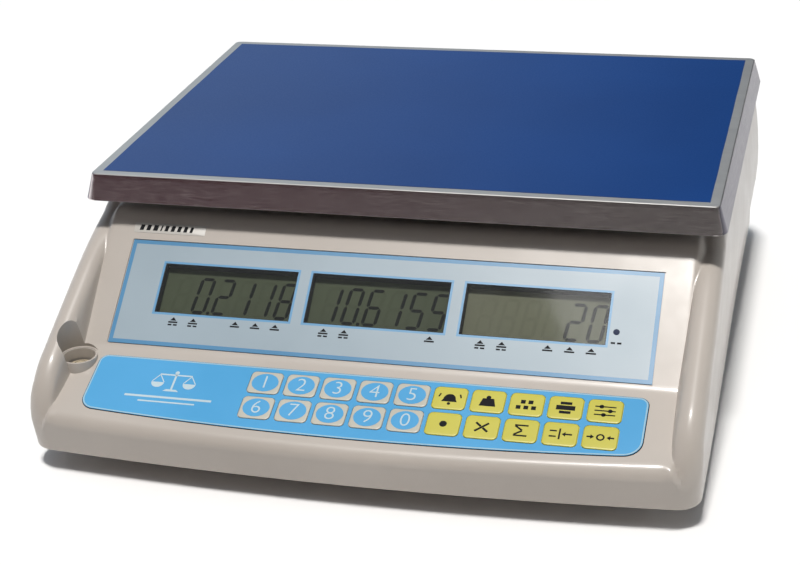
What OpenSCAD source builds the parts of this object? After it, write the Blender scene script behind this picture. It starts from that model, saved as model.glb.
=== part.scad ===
// Electronic counting scale: a low plastic console with a sloping display and a membrane
// keypad in front, and a wide steel weighing tray on a single-point load cell behind.
// Origin: middle of the footprint, on the bench. +X to the operator's right, +Y to the rear.

/* [Housing] */
// Width over the side walls
body_w = 336; // [330:1:342]
// Depth from the middle of the bowed front to the rear wall
body_d = 357; // [355:1:360]
// Clearance between the bench and the housing
ground_gap = 10; // [9.5:0.5:12]
// Height of the deck under the tray
deck_z = 99; // [98:0.5:99.5]
// Wall thickness
wall = 2.5; // [2:0.1:2.8]
// Width of each raised side rail
rail_w = 14; // [13:0.5:15]
// How far the front bows out at its middle
front_bow = 6.5; // [5:0.5:8]

/* [Console] */
// Slope of the keypad panel
key_slope = 20; // [19:0.5:21]
// Slope of the display panel
disp_slope = 38.5; // [38:0.25:39]
// Height of the crease between the two panels
crease_z = 48.5; // [48:0.25:49]
// Distance of the crease behind the middle of the front
crease_back = 49.8; // [49:0.2:51]

/* [Tray] */
// Width of the tray at its top bend
tray_w = 330; // [326:1:332]
// Depth of the tray at its top bend
tray_d = 233.4; // [230:0.2:236]
// Height of the tray's skirt
skirt_h = 13.8; // [12.5:0.1:14]
// How far the skirt flares outward
skirt_flare = 4; // [3:0.5:4]
// Sheet thickness of the tray
sheet = 1.2; // [0.8:0.1:1.5]
// Height of the tray's top over the bench
tray_z = 120; // [119.5:0.1:120.5]

/* [Keypad] */
// Width of a key
key_w = 16.4; // [15:0.1:16.6]
// Height of a key
key_h = 14; // [13:0.1:14.2]
// Column spacing
key_pitch_x = 18.8; // [18.6:0.1:19]
// Row spacing
key_pitch_y = 16.25; // [16.1:0.05:16.4]
// Travel of a key
key_travel = 0.4; // [0.3:0.05:0.5]

/* [Display] */
// Width of each display window
win_w = 72.8; // [70:0.2:73]
// Height of each display window
win_h = 28.2; // [26:0.2:29]
// Spacing of the display windows
win_pitch = 80.7; // [80.4:0.1:81]

/* [Hidden] */

$fn = 48;
eps = 0.01;

// outline of the housing
front_y = -body_d / 2;
rear_y = body_d / 2;
half_w = body_w / 2;
base_z = ground_gap;
corner_r = 12;
bow_span = half_w - corner_r;
bow_r = (bow_span * bow_span + front_bow * front_bow) / (2 * front_bow);
bow_cy = front_y + bow_r;
corner_a = asin(bow_span / (bow_r - corner_r));
corner_turn = 90 - corner_a;
corner_cy = bow_cy - (bow_r - corner_r) * cos(corner_a);

// console panels
crease_y = front_y + crease_back;
deck_y = crease_y + (deck_z - crease_z) / tan(disp_slope);
rail_x = half_w - rail_w;

// crest line of the side rails: two straight runs and a rounded nose
rail_top_y = -49;
rail_knee = [-83, 87];
rail_slope = 26.2;
rail_top_slope = atan((deck_z - rail_knee[1]) / (rail_top_y - rail_knee[0]));
rail_nose_r = 41.5;
rail_run = 73.8;

// weighing platform
tray_cy = 45.8;
tray_under = tray_z - sheet;
film_inset = 5.2;
film_t = 0.2;
skirt_z = tray_z - skirt_h;
arm_z = 102;
arm_t = 7.5;
bumper_x = 140;
bumper_y = 92;

// load cell
cell_l = 130;
cell_w = 30;
cell_h = 22;
cell_z = 22;
live_y = tray_cy + cell_l / 2 - 14;
fixed_y = tray_cy - cell_l / 2 + 14;
bolt_gap = 15;
hub_w = 46;
hub_d = 28;

// overlays, windows and keys
ovl_half = 140;
disp_lo = 2.8;
disp_hi = 62.4;
ovl_pocket = 0.6;
ovl_t = 0.5;
win_mid = 35.6;
win_x0 = -1.7;
lcd_n = -5;
lcd_t = 2.8;
board_n = lcd_n - lcd_t;
board_t = 1.6;
lamp_x = 120;
lamp_s = 28.8;
lamp_r = 1.5;
key_x0 = 35.6;
key_row1 = 16.1;
key_gap = 0.25;
key_r = 2.4;
key_top = 0.75;
key_ledge = 0.7;
kovl_t = 0.4;
kovl_lo = 5.9;
kovl_mid = 46.4;
kovl_bow_r = 1845;
circuit_t = 0.4;
key_bed = key_ledge + key_travel + 0.1 + circuit_t;
tail_x = -46;

// level indicator
level_x = -151.2;
level_y = -138;
level_z = 47.3;
level_r = 9.45;
level_bore = 8.1;
level_floor = 33.5;
vial_top = 42.5;

// rear ports, all at one height in a shallow bay
bay_x0 = -128;
bay_x1 = 10;
bay_z0 = 27;
bay_z1 = 63;
bay_deep = 3.5;
bay_y = rear_y - bay_deep;
port_z = 45;
inlet_x = -106;
serial_x = -58;
switch_x = -15;
rocker_y = bay_y - 4.6;
pivot_r = 1.3;

// feet
foot_x = 130;
foot_fy = -140;
foot_ry = 145;
stud_r = 4;
run_gap = 0.05;
pad_h = 5;
flange_top = 9.4;

// underside
screw_xy = [[150, -158], [150, 162], [157, 10]];
battery_x = 101;
battery_y = 92;
battery_w = 92;
battery_d = 70;
cover_t = 1.6;

function arc(cx, cy, r, a0, a1, n) =
    [for (i = [0:n]) let (a = a0 + (a1 - a0) * i / n) [cx + r * cos(a), cy + r * sin(a)]];

// a bend point moved inward by t, between two runs of slope a1 and a2
function inset(p, a1, a2, t) =
    p + t / cos((a1 - a2) / 2) * [sin((a1 + a2) / 2), -cos((a1 + a2) / 2)];

// plan outline, moved inward by t: bowed front, four round corners
function plan(t) = concat(
    arc(half_w - corner_r, corner_cy, corner_r - t, -corner_turn, 0, 6),
    arc(half_w - corner_r, rear_y - corner_r, corner_r - t, 0, 90, 6),
    arc(corner_r - half_w, rear_y - corner_r, corner_r - t, 90, 180, 6),
    arc(corner_r - half_w, corner_cy, corner_r - t, 180, 180 + corner_turn, 6),
    [for (i = [1:15]) let (a = 270 + corner_a * (i / 8 - 1))
        [(bow_r - t) * cos(a), bow_cy + (bow_r - t) * sin(a)]]);

// side view of the two panels and the deck, moved inward by t
function panel_side(t) = [
    [front_y - 20, base_z - 2],
    inset([front_y - 20, crease_z - (crease_back + 20) * tan(key_slope)], key_slope, key_slope, t),
    inset([crease_y, crease_z], key_slope, disp_slope, t),
    inset([deck_y, deck_z], disp_slope, 0, t),
    [rear_y + 20, deck_z - t],
    [rear_y + 20, base_z - 2]];

// side view of a rail, moved inward by t
nose_from = rail_knee - rail_run * [cos(rail_slope), sin(rail_slope)];
nose_c = nose_from + rail_nose_r * [sin(rail_slope), -cos(rail_slope)];
function rail_side(t) = concat(
    [[nose_c[0] - rail_nose_r + t, base_z - 2]],
    [for (p = arc(nose_c[0], nose_c[1], rail_nose_r - t, 180, 90 + rail_slope, 8)) p],
    [inset(rail_knee, rail_slope, rail_top_slope, t),
     inset([rail_top_y, deck_z], rail_top_slope, 0, t),
     [rear_y + 20, deck_z - t],
     [rear_y + 20, base_z - 2]]);

// a side view in [y, z] drawn out along X from x0 to x1
module along_x(points, x0, x1) {
    translate([x0, 0, 0]) rotate([90, 0, 90]) linear_extrude(x1 - x0) polygon(points);
}

module on_display() {
    translate([0, crease_y, crease_z]) rotate([disp_slope, 0, 0]) children();
}

// on the keypad panel, with Y running down the slope as -Y
module on_keypad() {
    translate([0, crease_y, crease_z]) rotate([key_slope, 0, 0]) children();
}

module both_sides() {
    children();
    mirror([1, 0, 0]) children();
}

function round_rect(w, h, r, n = 5) = concat(
    arc(w / 2 - r, h / 2 - r, r, 0, 90, n), arc(r - w / 2, h / 2 - r, r, 90, 180, n),
    arc(r - w / 2, r - h / 2, r, 180, 270, n), arc(w / 2 - r, r - h / 2, r, 270, 360, n));

module slab(w, h, r, z0, z1) {
    translate([0, 0, z0]) linear_extrude(z1 - z0) polygon(round_rect(w, h, r));
}

module box(x0, x1, y0, y1, z0, z1) {
    translate([x0, y0, z0]) cube([x1 - x0, y1 - y0, z1 - z0]);
}

module rod(r, z0, z1) {
    translate([0, 0, z0]) cylinder(r = r, h = z1 - z0);
}

function key_at(col, row) =
    [key_x0 + key_pitch_x * (col - 4.5), -(key_row1 + key_pitch_y * row)];

module each_key() {
    for (row = [0, 1]) for (col = [0:9]) translate(key_at(col, row)) children();
}

module each_window() {
    for (i = [-1, 0, 1]) translate([win_x0 + win_pitch * i, win_mid, 0]) children();
}

// ---------------------------------------------------------------- housing

module housing_solid() {
    intersection() {
        translate([0, 0, base_z]) linear_extrude(tray_z) polygon(plan(0));
        union() {
            along_x(panel_side(0), -rail_x, rail_x);
            both_sides() along_x(rail_side(0), rail_x, half_w + 5);
        }
    }
}

module housing_hollow() {
    intersection() {
        translate([0, 0, base_z - 1]) linear_extrude(tray_z) polygon(plan(wall));
        union() {
            along_x(panel_side(wall), wall - rail_x, rail_x - wall);
            both_sides() intersection() {
                along_x(panel_side(wall), rail_x - wall - eps, rail_x + wall);
                along_x(rail_side(wall), rail_x - wall - eps, rail_x + wall);
            }
            both_sides() along_x(rail_side(wall), rail_x + wall - eps, half_w);
        }
    }
}

// posts and frames that hang from the inside of the skin
module housing_posts() {
    intersection() {
        housing_solid();
        both_sides() for (p = screw_xy) translate(p) rod(4.2, base_z + 3, deck_z);
    }
}

module window_frames() {
    on_display() each_window() difference() {
        slab(win_w + 5, win_h + 5, 0.5, lcd_n + 0.1, -1);
        slab(win_w, win_h, 0.3, lcd_n, 0);
    }
    on_display() for (x = [-129, 129]) for (s = [12, 56]) translate([x, s]) rod(3, board_n, -1);
}

module level_collar() {
    translate([level_x, level_y]) rod(level_r, level_floor - 2, level_z);
}

module port_bay_block() {
    box(bay_x0 - 3, bay_x1 + 3, bay_y - wall, rear_y - 1, bay_z0 - 3, bay_z1 + 3);
}

module upper_housing() {
    color("#c9bfb2") difference() {
        union() {
            difference() {
                housing_solid();
                difference() {
                    housing_hollow();
                    translate([level_x, level_y]) rod(level_r + 3, level_floor - 2, tray_z);
                }
                // rail cut back round the level indicator, above its rim
                translate([level_x, level_y]) rod(level_r + 0.55, level_z, tray_z);
            }
            housing_posts();
            window_frames();
            level_collar();
            port_bay_block();
        }
        translate([level_x, level_y]) rod(level_bore, level_floor, level_z + 1);
        on_display() {
            each_window() slab(win_w, win_h, 0.3, lcd_n - 3, 3);
            translate([0, (disp_lo + disp_hi) / 2]) slab(2 * ovl_half + 1, disp_hi - disp_lo + 1, 0.6,
                -ovl_pocket, 3);
            translate([lamp_x, lamp_s]) rod(lamp_r + 0.1, -4, 3);
        }
        on_keypad() {
            keypad_bed(0);
            translate([tail_x, -9, -3.5]) cube([16, 1.2, 6], center = true);
        }
        // deck opening for the carrier's column
        box(-hub_w / 2 - 9, hub_w / 2 + 9, live_y - hub_d / 2 - 9, live_y + hub_d / 2 + 9,
            deck_z - 9, deck_z + 1);
        both_sides() for (p = screw_xy) translate(p) rod(1.62, base_z, base_z + 20);
        // rear bay and its cut-outs
        box(bay_x0, bay_x1, bay_y, rear_y + 5, bay_z0, bay_z1);
        box(inlet_x - 13.7, inlet_x + 13.7, bay_y - 9, bay_y + 1, port_z - 10.1, port_z + 10.1);
        box(serial_x - 8.7, serial_x + 8.7, bay_y - 9, bay_y + 1, port_z - 4.4, port_z + 4.4);
        box(switch_x - 6.7, switch_x + 6.7, bay_y - 9, bay_y + 1, port_z - 9.7, port_z + 9.7);
    }
}

// shallow bed for the key circuit; grow shrinks or widens it
module keypad_bed(grow) {
    x0 = key_at(0, 0)[0] - 10.5;
    x1 = key_at(9, 0)[0] + 10.5;
    box(x0 - grow, x1 + grow, -key_row1 - key_pitch_y - 9 - grow, -key_row1 + 9 + grow, -key_bed, 2);
}

module foot_positions() {
    for (x = [-foot_x, foot_x]) for (y = [foot_fy, foot_ry]) translate([x, y]) children();
}

module lower_housing() {
    floor_z = base_z + 3;
    color("#b9b0a6") difference() {
        union() {
            translate([0, 0, base_z]) linear_extrude(3) polygon(plan(wall + 0.3));
            difference() {
                translate([0, 0, base_z]) linear_extrude(9) polygon(plan(wall + 0.3));
                translate([0, 0, base_z - 1]) linear_extrude(12) polygon(plan(wall + 2.1));
            }
            foot_positions() rod(9, base_z, base_z + 16);
            // pedestal under the fixed end of the load cell
            box(-30, 30, fixed_y - 22, fixed_y + 20, base_z, base_z + 8);
            // stiffening ribs
            for (x = [-60, 44]) box(x - 1, x + 1, -150, 160, base_z, floor_z + 4);
            for (y = [-110, 0]) box(-140, 140, y - 1, y + 1, base_z, floor_z + 4);
            // main board and transformer posts
            for (x = [-150, -76]) for (y = [-70, -20]) translate([x, y]) rod(3.5, base_z, base_z + 10);
            translate([0, live_y]) rod(9, base_z, base_z + 6);
        }
        foot_positions() rod(stud_r + run_gap, base_z - 1, base_z + 20);
        both_sides() for (p = screw_xy) translate(p) {
            rod(3.9, base_z - 1, base_z + 1.8);
            rod(2.1, base_z - 1, base_z + 5);
        }
        for (d = [-bolt_gap / 2, bolt_gap / 2]) translate([0, fixed_y + d]) {
            rod(5.5, base_z - 1, base_z + 4.5);
            rod(3.1, base_z - 1, base_z + 10);
        }
        translate([0, live_y]) rod(3.02, base_z - 1, base_z + 10);
        battery_box(8, base_z - 1, base_z + 5);
        battery_box(16.6, base_z - 1, base_z + cover_t);
    }
}

// block over the battery's own footprint, wider by grow
module battery_box(grow, z0, z1) {
    translate([battery_x, battery_y]) slab(battery_w + grow, battery_d + grow, 2, z0, z1);
}

// ---------------------------------------------------------------- weighing platform

module skirt_block(grow, z0) {
    low = 2 * (skirt_flare * (tray_z - z0) / skirt_h - grow);
    hull() {
        translate([0, tray_cy]) slab(tray_w + low, tray_d + low, 7 - grow, z0, z0 + eps);
        translate([0, tray_cy]) slab(tray_w - 2 * grow, tray_d - 2 * grow, 3, tray_z - grow - eps,
            tray_z - grow);
    }
}

module weighing_tray() {
    color("#a9a6a2") difference() {
        skirt_block(0, skirt_z);
        skirt_block(sheet, skirt_z - 0.4);
    }
}

module protective_film() {
    color("#243e82") translate([0, tray_cy])
        slab(tray_w - 2 * film_inset, tray_d - 2 * film_inset, 1.5, tray_z, tray_z + film_t);
}

module tray_carrier() {
    reach = norm([bumper_x, bumper_y]) + 14;
    turn = atan2(bumper_y, bumper_x);
    color("#b5b7b8") difference() {
        union() {
            intersection() {
                translate([0, tray_cy]) for (a = [turn, -turn]) rotate(a)
                    box(-reach, reach, -11, 11, arm_z, arm_z + arm_t);
                translate([0, tray_cy]) slab(2 * bumper_x + 26, 2 * bumper_y + 26, 8, arm_z, arm_z + arm_t);
            }
            translate([0, tray_cy]) slab(120, 96, 6, arm_z, arm_z + arm_t);
            box(-hub_w / 2, hub_w / 2, tray_cy, live_y + hub_d / 2, arm_z, arm_z + arm_t);
            box(-hub_w / 2, hub_w / 2, live_y - hub_d / 2, live_y + hub_d / 2, cell_z + cell_h + 6,
                arm_z + arm_t);
        }
        for (d = [-bolt_gap / 2, bolt_gap / 2]) translate([0, live_y + d]) {
            rod(5.4, cell_z + cell_h + 14, arm_z + arm_t + 1);
            rod(3.1, cell_z + cell_h, arm_z + arm_t);
        }
        for (x = [-bumper_x, bumper_x]) for (y = [-bumper_y, bumper_y])
            translate([x, tray_cy + y]) rod(3, arm_z - 1, arm_z + arm_t + 1);
    }
}

module carrier_bumpers() {
    color("#26262a") for (x = [-bumper_x, bumper_x]) for (y = [-bumper_y, bumper_y])
        translate([x, tray_cy + y]) {
            rod(8, arm_z + arm_t, tray_under);
            rod(3, arm_z + 1, arm_z + arm_t);
        }
}

module load_cell() {
    color("#c4c8cb") difference() {
        box(-cell_w / 2, cell_w / 2, tray_cy - cell_l / 2, tray_cy + cell_l / 2, cell_z, cell_z + cell_h);
        translate([0, tray_cy, cell_z + cell_h / 2]) {
            for (y = [-13, 13]) translate([0, y, 0]) rotate([0, 90, 0])
                cylinder(r = 8.5, h = cell_w + 2, center = true);
            cube([cell_w + 2, 26, 8], center = true);
        }
        for (d = [-bolt_gap / 2, bolt_gap / 2]) {
            translate([0, fixed_y + d]) rod(3.02, cell_z - 1, cell_z + 15);
            translate([0, live_y + d]) rod(3.02, cell_z + 6, cell_z + cell_h + 1);
        }
    }
}

module cell_mount_plate() {
    color("#8d9094") difference() {
        box(-22, 22, fixed_y - 16, fixed_y + 14, base_z + 8, cell_z);
        for (d = [-bolt_gap / 2, bolt_gap / 2]) translate([0, fixed_y + d]) rod(3.1, base_z, cell_z + 1);
    }
}

module cell_spacer() {
    color("#8d9094") difference() {
        box(-15, 15, live_y - 14, live_y + 14, cell_z + cell_h, cell_z + cell_h + 6);
        for (d = [-bolt_gap / 2, bolt_gap / 2]) translate([0, live_y + d])
            rod(3.1, cell_z, cell_z + cell_h + 7);
    }
}

// socket-head bolt, head at the bottom, from z0 up
module bolt_up(z0, head_h, head_r, shank_r, length) {
    difference() {
        union() {
            rod(head_r, z0, z0 + head_h);
            rod(shank_r, z0, z0 + head_h + length);
        }
        translate([0, 0, z0 - 1]) cylinder(r = head_r * 0.5, h = 1 + head_h * 0.5, $fn = 6);
    }
}

module cell_fixed_bolts() {
    color("#55585c") for (d = [-bolt_gap / 2, bolt_gap / 2]) translate([0, fixed_y + d])
        bolt_up(base_z + 0.5, 4, 5, 3, 21);
}

module cell_live_bolts() {
    color("#55585c") for (d = [-bolt_gap / 2, bolt_gap / 2])
        translate([0, live_y + d, cell_z + cell_h + 18]) mirror([0, 0, 1]) bolt_up(0, 4, 5, 3, 26);
}

module overload_stop() {
    color("#55585c") translate([0, live_y]) {
        rod(3, base_z + 1, cell_z - 0.7);
        translate([0, 0, base_z + 6]) cylinder(r = 5.5, h = 4, $fn = 6);
    }
}

// ---------------------------------------------------------------- display

module display_overlay() {
    color("#b9d0dc") on_display() translate([0, (disp_lo + disp_hi) / 2])
        slab(2 * ovl_half, disp_hi - disp_lo, 0.6, -ovl_pocket, ovl_t - ovl_pocket);
}

module display_board() {
    color("#1f6b3a") on_display() difference() {
        union() {
            box(-134, 134, 8, 60, board_n - board_t, board_n);
            box(-40, 40, 24, 44, board_n - board_t - 1.5, board_n - board_t);
        }
        translate([lamp_x, lamp_s]) rod(0.9, board_n - 3, board_n + 1);
    }
}

module lcd(i) {
    color("#696e5a") on_display() translate([win_x0 + win_pitch * i, win_mid])
        slab(win_w + 6, win_h + 7, 0.3, board_n, lcd_n);
}

module charge_lamp() {
    color("#1b2a5c") on_display() translate([lamp_x, lamp_s]) {
        rod(lamp_r, board_n, -1.6);
        translate([0, 0, -1.6]) difference() {
            sphere(r = lamp_r);
            rod(2, -3, 0);
            rod(2, ovl_t + 0.5, 3);
        }
        rod(0.45, board_n - board_t, board_n);
    }
}

// ---------------------------------------------------------------- keypad

// outline of the keypad sheet: straight top, bowed bottom
function keypad_outline() = let (x = ovl_half, b = kovl_mid - kovl_bow_r, a = asin((x - 12) / kovl_bow_r))
    concat(
        arc(x - 4.5, -kovl_lo - 4.5, 4.5, 0, 90, 5),
        arc(4.5 - x, -kovl_lo - 4.5, 4.5, 90, 180, 5),
        arc(7.5 - x, -kovl_mid + 12.3, 7.5, 180, 260, 6),
        [for (i = [0:12]) let (t = -a + 2 * a * i / 12) [kovl_bow_r * sin(t), -b - kovl_bow_r * cos(t)]],
        arc(x - 9, -kovl_mid + 13.8, 9, -82, 0, 6));

module keypad_overlay() {
    color("#55aae1") on_keypad() difference() {
        linear_extrude(kovl_t) polygon(keypad_outline());
        each_key() slab(key_w + 2 * key_gap, key_h + 2 * key_gap, key_r + key_gap, -1, 2);
    }
}

module keypad_circuit() {
    color("#d8c98a") on_keypad() {
        intersection() {
            keypad_bed(-0.3);
            box(-200, 200, -80, 0, -key_bed, circuit_t - key_bed);
        }
        translate([tail_x, -9, -key_bed - 3.5]) cube([14, 0.4, 7], center = true);
    }
}

// a key's cap stands through the sheet; its ledge stays under it
module key(col, row) {
    on_keypad() translate(key_at(col, row)) {
        slab(key_w, key_h, key_r, -key_ledge, key_top);
        slab(key_w + 1.6, key_h + 1.4, 1, -key_ledge, -0.15);
    }
}

// ---------------------------------------------------------------- level indicator

module level_vial() {
    color("#dfe3dc") translate([level_x, level_y]) difference() {
        rod(level_bore - 0.1, level_floor, vial_top);
        rod(6.6, level_floor - 1, vial_top - 1.2);
    }
}

module level_fluid() {
    color("#b99a6a") translate([level_x, level_y]) rod(6.55, level_floor, vial_top - 1.2);
}

// ---------------------------------------------------------------- electronics and power

module main_board() {
    z = base_z + 10;
    color("#2a7a45") {
        box(-158, -68, -78, -12, z, z + 1.6);
        box(-150, -130, -70, -50, z + 1.6, z + 6);
        box(-120, -84, -66, -30, z + 1.6, z + 4);
        box(-154, -146, -44, -20, z + 1.6, z + 11);
        for (x = [-140, -126, -112]) translate([x, -22]) rod(4, z + 1.6, z + 14);
    }
}

module transformer() {
    x = -106;
    y = 95;
    z = base_z + 3;
    color("#5b5148") {
        box(x - 28, x + 28, y - 10, y + 10, z + 4, z + 48);
        box(x - 17, x + 17, y - 20, y + 20, z + 10, z + 40);
        box(x - 36, x + 36, y - 10, y + 10, z, z + 4);
    }
}

module battery() {
    color("#2d3036") {
        battery_box(0, base_z + cover_t, base_z + 47);
        for (y = [-18, 18]) translate([battery_x - 38, battery_y + y]) slab(6, 5, 1, base_z + 47, base_z + 52);
    }
}

module battery_cover() {
    color("#b9b0a6") difference() {
        battery_box(16, base_z, base_z + cover_t);
        // finger slots at the opening end
        for (x = [-14, 0, 14]) translate([battery_x + x, battery_y + 32]) slab(8, 2, 0.8, base_z - 1, base_z + 0.8);
    }
}

module power_inlet() {
    color("#202124") difference() {
        union() {
            box(inlet_x - 15.4, inlet_x + 15.4, bay_y, bay_y + 1.8, port_z - 12, port_z + 12);
            box(inlet_x - 13.5, inlet_x + 13.5, bay_y - 22, bay_y, port_z - 9.9, port_z + 9.9);
        }
        box(inlet_x - 12, inlet_x + 12, bay_y - 16, bay_y + 3, port_z - 8.5, port_z + 8.5);
    }
    color("#d8d8d8") for (p = [[-7, -3], [0, 0.5], [7, -3]])
        box(inlet_x + p[0] - 1, inlet_x + p[0] + 1, bay_y - 26, bay_y - 2, port_z + p[1] - 2,
            port_z + p[1] + 2);
}

module serial_port() {
    color("#aeb2b6") difference() {
        union() {
            box(serial_x - 8.5, serial_x + 8.5, bay_y - 4, bay_y + 2.5, port_z - 4.2, port_z + 4.2);
            box(serial_x - 15.4, serial_x + 15.4, bay_y - wall - 1, bay_y - wall, port_z - 6.2, port_z + 6.2);
            box(serial_x - 9, serial_x + 9, bay_y - 12, bay_y - wall - 1, port_z - 5, port_z + 5);
        }
        box(serial_x - 7.9, serial_x + 7.9, bay_y - 1.5, bay_y + 4, port_z - 3.6, port_z + 3.6);
    }
}

module switch_frame() {
    color("#17181a") difference() {
        union() {
            box(switch_x - 7.5, switch_x + 7.5, bay_y, bay_y + 1.8, port_z - 10.5, port_z + 10.5);
            box(switch_x - 6.5, switch_x + 6.5, bay_y - 15, bay_y, port_z - 9.5, port_z + 9.5);
        }
        box(switch_x - 5, switch_x + 5, bay_y - 12, bay_y + 3, port_z - 8.2, port_z + 8.2);
        rocker_pivot(pivot_r + run_gap, 6.3);
    }
    color("#17181a") for (z = [-5, 5])
        box(switch_x - 2.4, switch_x + 2.4, bay_y - 23, bay_y - 15, port_z + z - 0.4, port_z + z + 0.4);
}

module rocker_pivot(r, reach) {
    translate([switch_x, rocker_y, port_z]) rotate([0, 90, 0]) cylinder(r = r, h = 2 * reach, center = true);
}

// two-faced rocker, tipped to its upper side at rest
module power_rocker() {
    r = 8.6;
    tip = 10;
    color("#8c1f1f") translate([switch_x - 4.8, rocker_y, port_z]) rotate([tip, 0, 0])
        rotate([90, 0, 90]) linear_extrude(9.6)
        polygon(concat([[5.4, 0]], arc(0, 0, r, 42, 55, 2), [[-2, 5.5], [-2, -5.5]],
            arc(0, 0, r, -55, -42, 2)));
    color("#8c1f1f") rocker_pivot(pivot_r, 6.2);
}

module housing_screws() {
    color("#8f9296") both_sides() for (p = screw_xy) translate(p)
        bolt_up(base_z + 0.1, 1.7, 3.7, 1.6, 15);
}

module rating_label() {
    color("#c8c3bb") on_display() translate([-121.5, 69.8]) slab(40, 6, 0.3, 0, 0.15);
}

// ---------------------------------------------------------------- feet

module foot_pad(x, y) {
    color("#2b2b2e") translate([x, y]) difference() {
        union() {
            rod(12.5, 0, 3.5);
            rod(11, 3.5, pad_h);
        }
        rod(stud_r + run_gap, 1.8, pad_h + 1);
    }
}

module foot_stud(x, y) {
    color("#b7babd") translate([x, y]) {
        rod(stud_r, 2, base_z + 22);
        rod(10, pad_h + 0.2, flange_top);
    }
}

upper_housing();
lower_housing();
weighing_tray();
protective_film();
tray_carrier();
carrier_bumpers();
load_cell();
cell_mount_plate();
cell_spacer();
cell_fixed_bolts();
cell_live_bolts();
overload_stop();
display_overlay();
display_board();
lcd(-1);  // lcd_left
lcd(0);  // lcd_middle
lcd(1);  // lcd_right
charge_lamp();
keypad_overlay();
keypad_circuit();
color("#4f9fe0") key(0, 0);  // key_1
color("#4f9fe0") key(1, 0);  // key_2
color("#4f9fe0") key(2, 0);  // key_3
color("#4f9fe0") key(3, 0);  // key_4
color("#4f9fe0") key(4, 0);  // key_5
color("#4f9fe0") key(0, 1);  // key_6
color("#4f9fe0") key(1, 1);  // key_7
color("#4f9fe0") key(2, 1);  // key_8
color("#4f9fe0") key(3, 1);  // key_9
color("#4f9fe0") key(4, 1);  // key_0
color("#d7cd50") key(5, 1);  // key_point
color("#d7cd50") key(5, 0);  // key_alarm
color("#d7cd50") key(6, 0);  // key_unit_weight
color("#d7cd50") key(7, 0);  // key_sample
color("#d7cd50") key(8, 0);  // key_print
color("#d7cd50") key(9, 0);  // key_function
color("#d7cd50") key(6, 1);  // key_clear
color("#d7cd50") key(7, 1);  // key_total
color("#d7cd50") key(8, 1);  // key_tare
color("#d7cd50") key(9, 1);  // key_zero
level_vial();
level_fluid();
main_board();
transformer();
battery();
battery_cover();
power_inlet();
serial_port();
switch_frame();
power_rocker();
housing_screws();
rating_label();
foot_pad(-foot_x, foot_fy);  // foot_pad_fl
foot_pad(foot_x, foot_fy);  // foot_pad_fr
foot_pad(-foot_x, foot_ry);  // foot_pad_rl
foot_pad(foot_x, foot_ry);  // foot_pad_rr
foot_stud(-foot_x, foot_fy);  // foot_stud_fl
foot_stud(foot_x, foot_fy);  // foot_stud_fr
foot_stud(-foot_x, foot_ry);  // foot_stud_rl
foot_stud(foot_x, foot_ry);  // foot_stud_rr
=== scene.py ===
import math

import bmesh
import bpy
import numpy as np
from mathutils import Matrix, Vector


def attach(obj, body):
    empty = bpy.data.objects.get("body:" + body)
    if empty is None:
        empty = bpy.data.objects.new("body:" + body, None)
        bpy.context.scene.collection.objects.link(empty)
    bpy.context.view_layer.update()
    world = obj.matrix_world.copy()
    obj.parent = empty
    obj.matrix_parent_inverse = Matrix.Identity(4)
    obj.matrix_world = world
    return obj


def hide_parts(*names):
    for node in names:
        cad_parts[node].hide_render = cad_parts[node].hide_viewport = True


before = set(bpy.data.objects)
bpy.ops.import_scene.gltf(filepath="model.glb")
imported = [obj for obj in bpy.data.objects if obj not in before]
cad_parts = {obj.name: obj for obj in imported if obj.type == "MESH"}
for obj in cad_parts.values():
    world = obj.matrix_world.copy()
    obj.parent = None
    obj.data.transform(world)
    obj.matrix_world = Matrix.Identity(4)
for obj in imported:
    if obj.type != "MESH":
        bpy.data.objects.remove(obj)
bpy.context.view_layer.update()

MM = 0.001

# ---- measures, in millimetres
HALF_W = 168.0
FRONT_Y = -178.5
REAR_Y = 178.5
BASE_Z = 10.0
DECK_Z = 99.0
WALL = 2.5
CORNER_R = 12.0
FRONT_BOW = 6.5
FRONT_LEAN = 3.0                     # how far the front wall's top stands before its foot
KEY_SLOPE = math.radians(20)
DISP_SLOPE = math.radians(38.5)
CREASE_Y = -128.7
CREASE_Z = 48.5
RAIL_IN = 154.0
SPINE_IN = 7.0                       # how far inside the wall the rounding is swept from
BOW_SPAN = HALF_W - CORNER_R
BOW_R = (BOW_SPAN ** 2 + FRONT_BOW ** 2) / (2 * FRONT_BOW)
BOW_CY = FRONT_Y + BOW_R
CORNER_CY = BOW_CY - math.sqrt((BOW_R - CORNER_R) ** 2 - BOW_SPAN ** 2)
TRAY_W = 330.0
TRAY_D = 233.4
TRAY_CY = 45.8
TRAY_Z = 120.0
LEVEL = (-151.2, -138.0)
LEVEL_RIM_Z = 47.3
KEY_PITCH = (18.8, 16.25)
KEYS_MID = 35.6                      # middle of the rows of ten keys
KEY_ORIGIN = (KEYS_MID - 4.5 * KEY_PITCH[0], -16.1)
WINDOW_X = (-82.4, -1.7, 79.0)
WINDOW_MID = 35.6
WINDOW = (72.8, 28.2)
LCD_DEPTH = -5.0
LAMP = (120.0, 28.8)
BAY = (-128.0, 10.0, 27.0, 63.0)     # rear recess: left, right, low, high
BAY_Y = 175.0
PORT_Z = 45.0
INLET_X = -106.0
SERIAL_X = -58.0
SWITCH_X = -15.0
FEET = {"fl": (-130, -140), "fr": (130, -140), "rl": (-130, 145), "rr": (130, 145)}


# ---- frames
def shift(x, y, z=0.0):
    return Matrix.Translation((x, y, z))


def tilted(slope):
    """Frame of a panel that starts at the crease: X across, Y up its slope, Z out of it."""
    return shift(0, CREASE_Y, CREASE_Z) @ Matrix.Rotation(slope, 4, "X")


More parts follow.
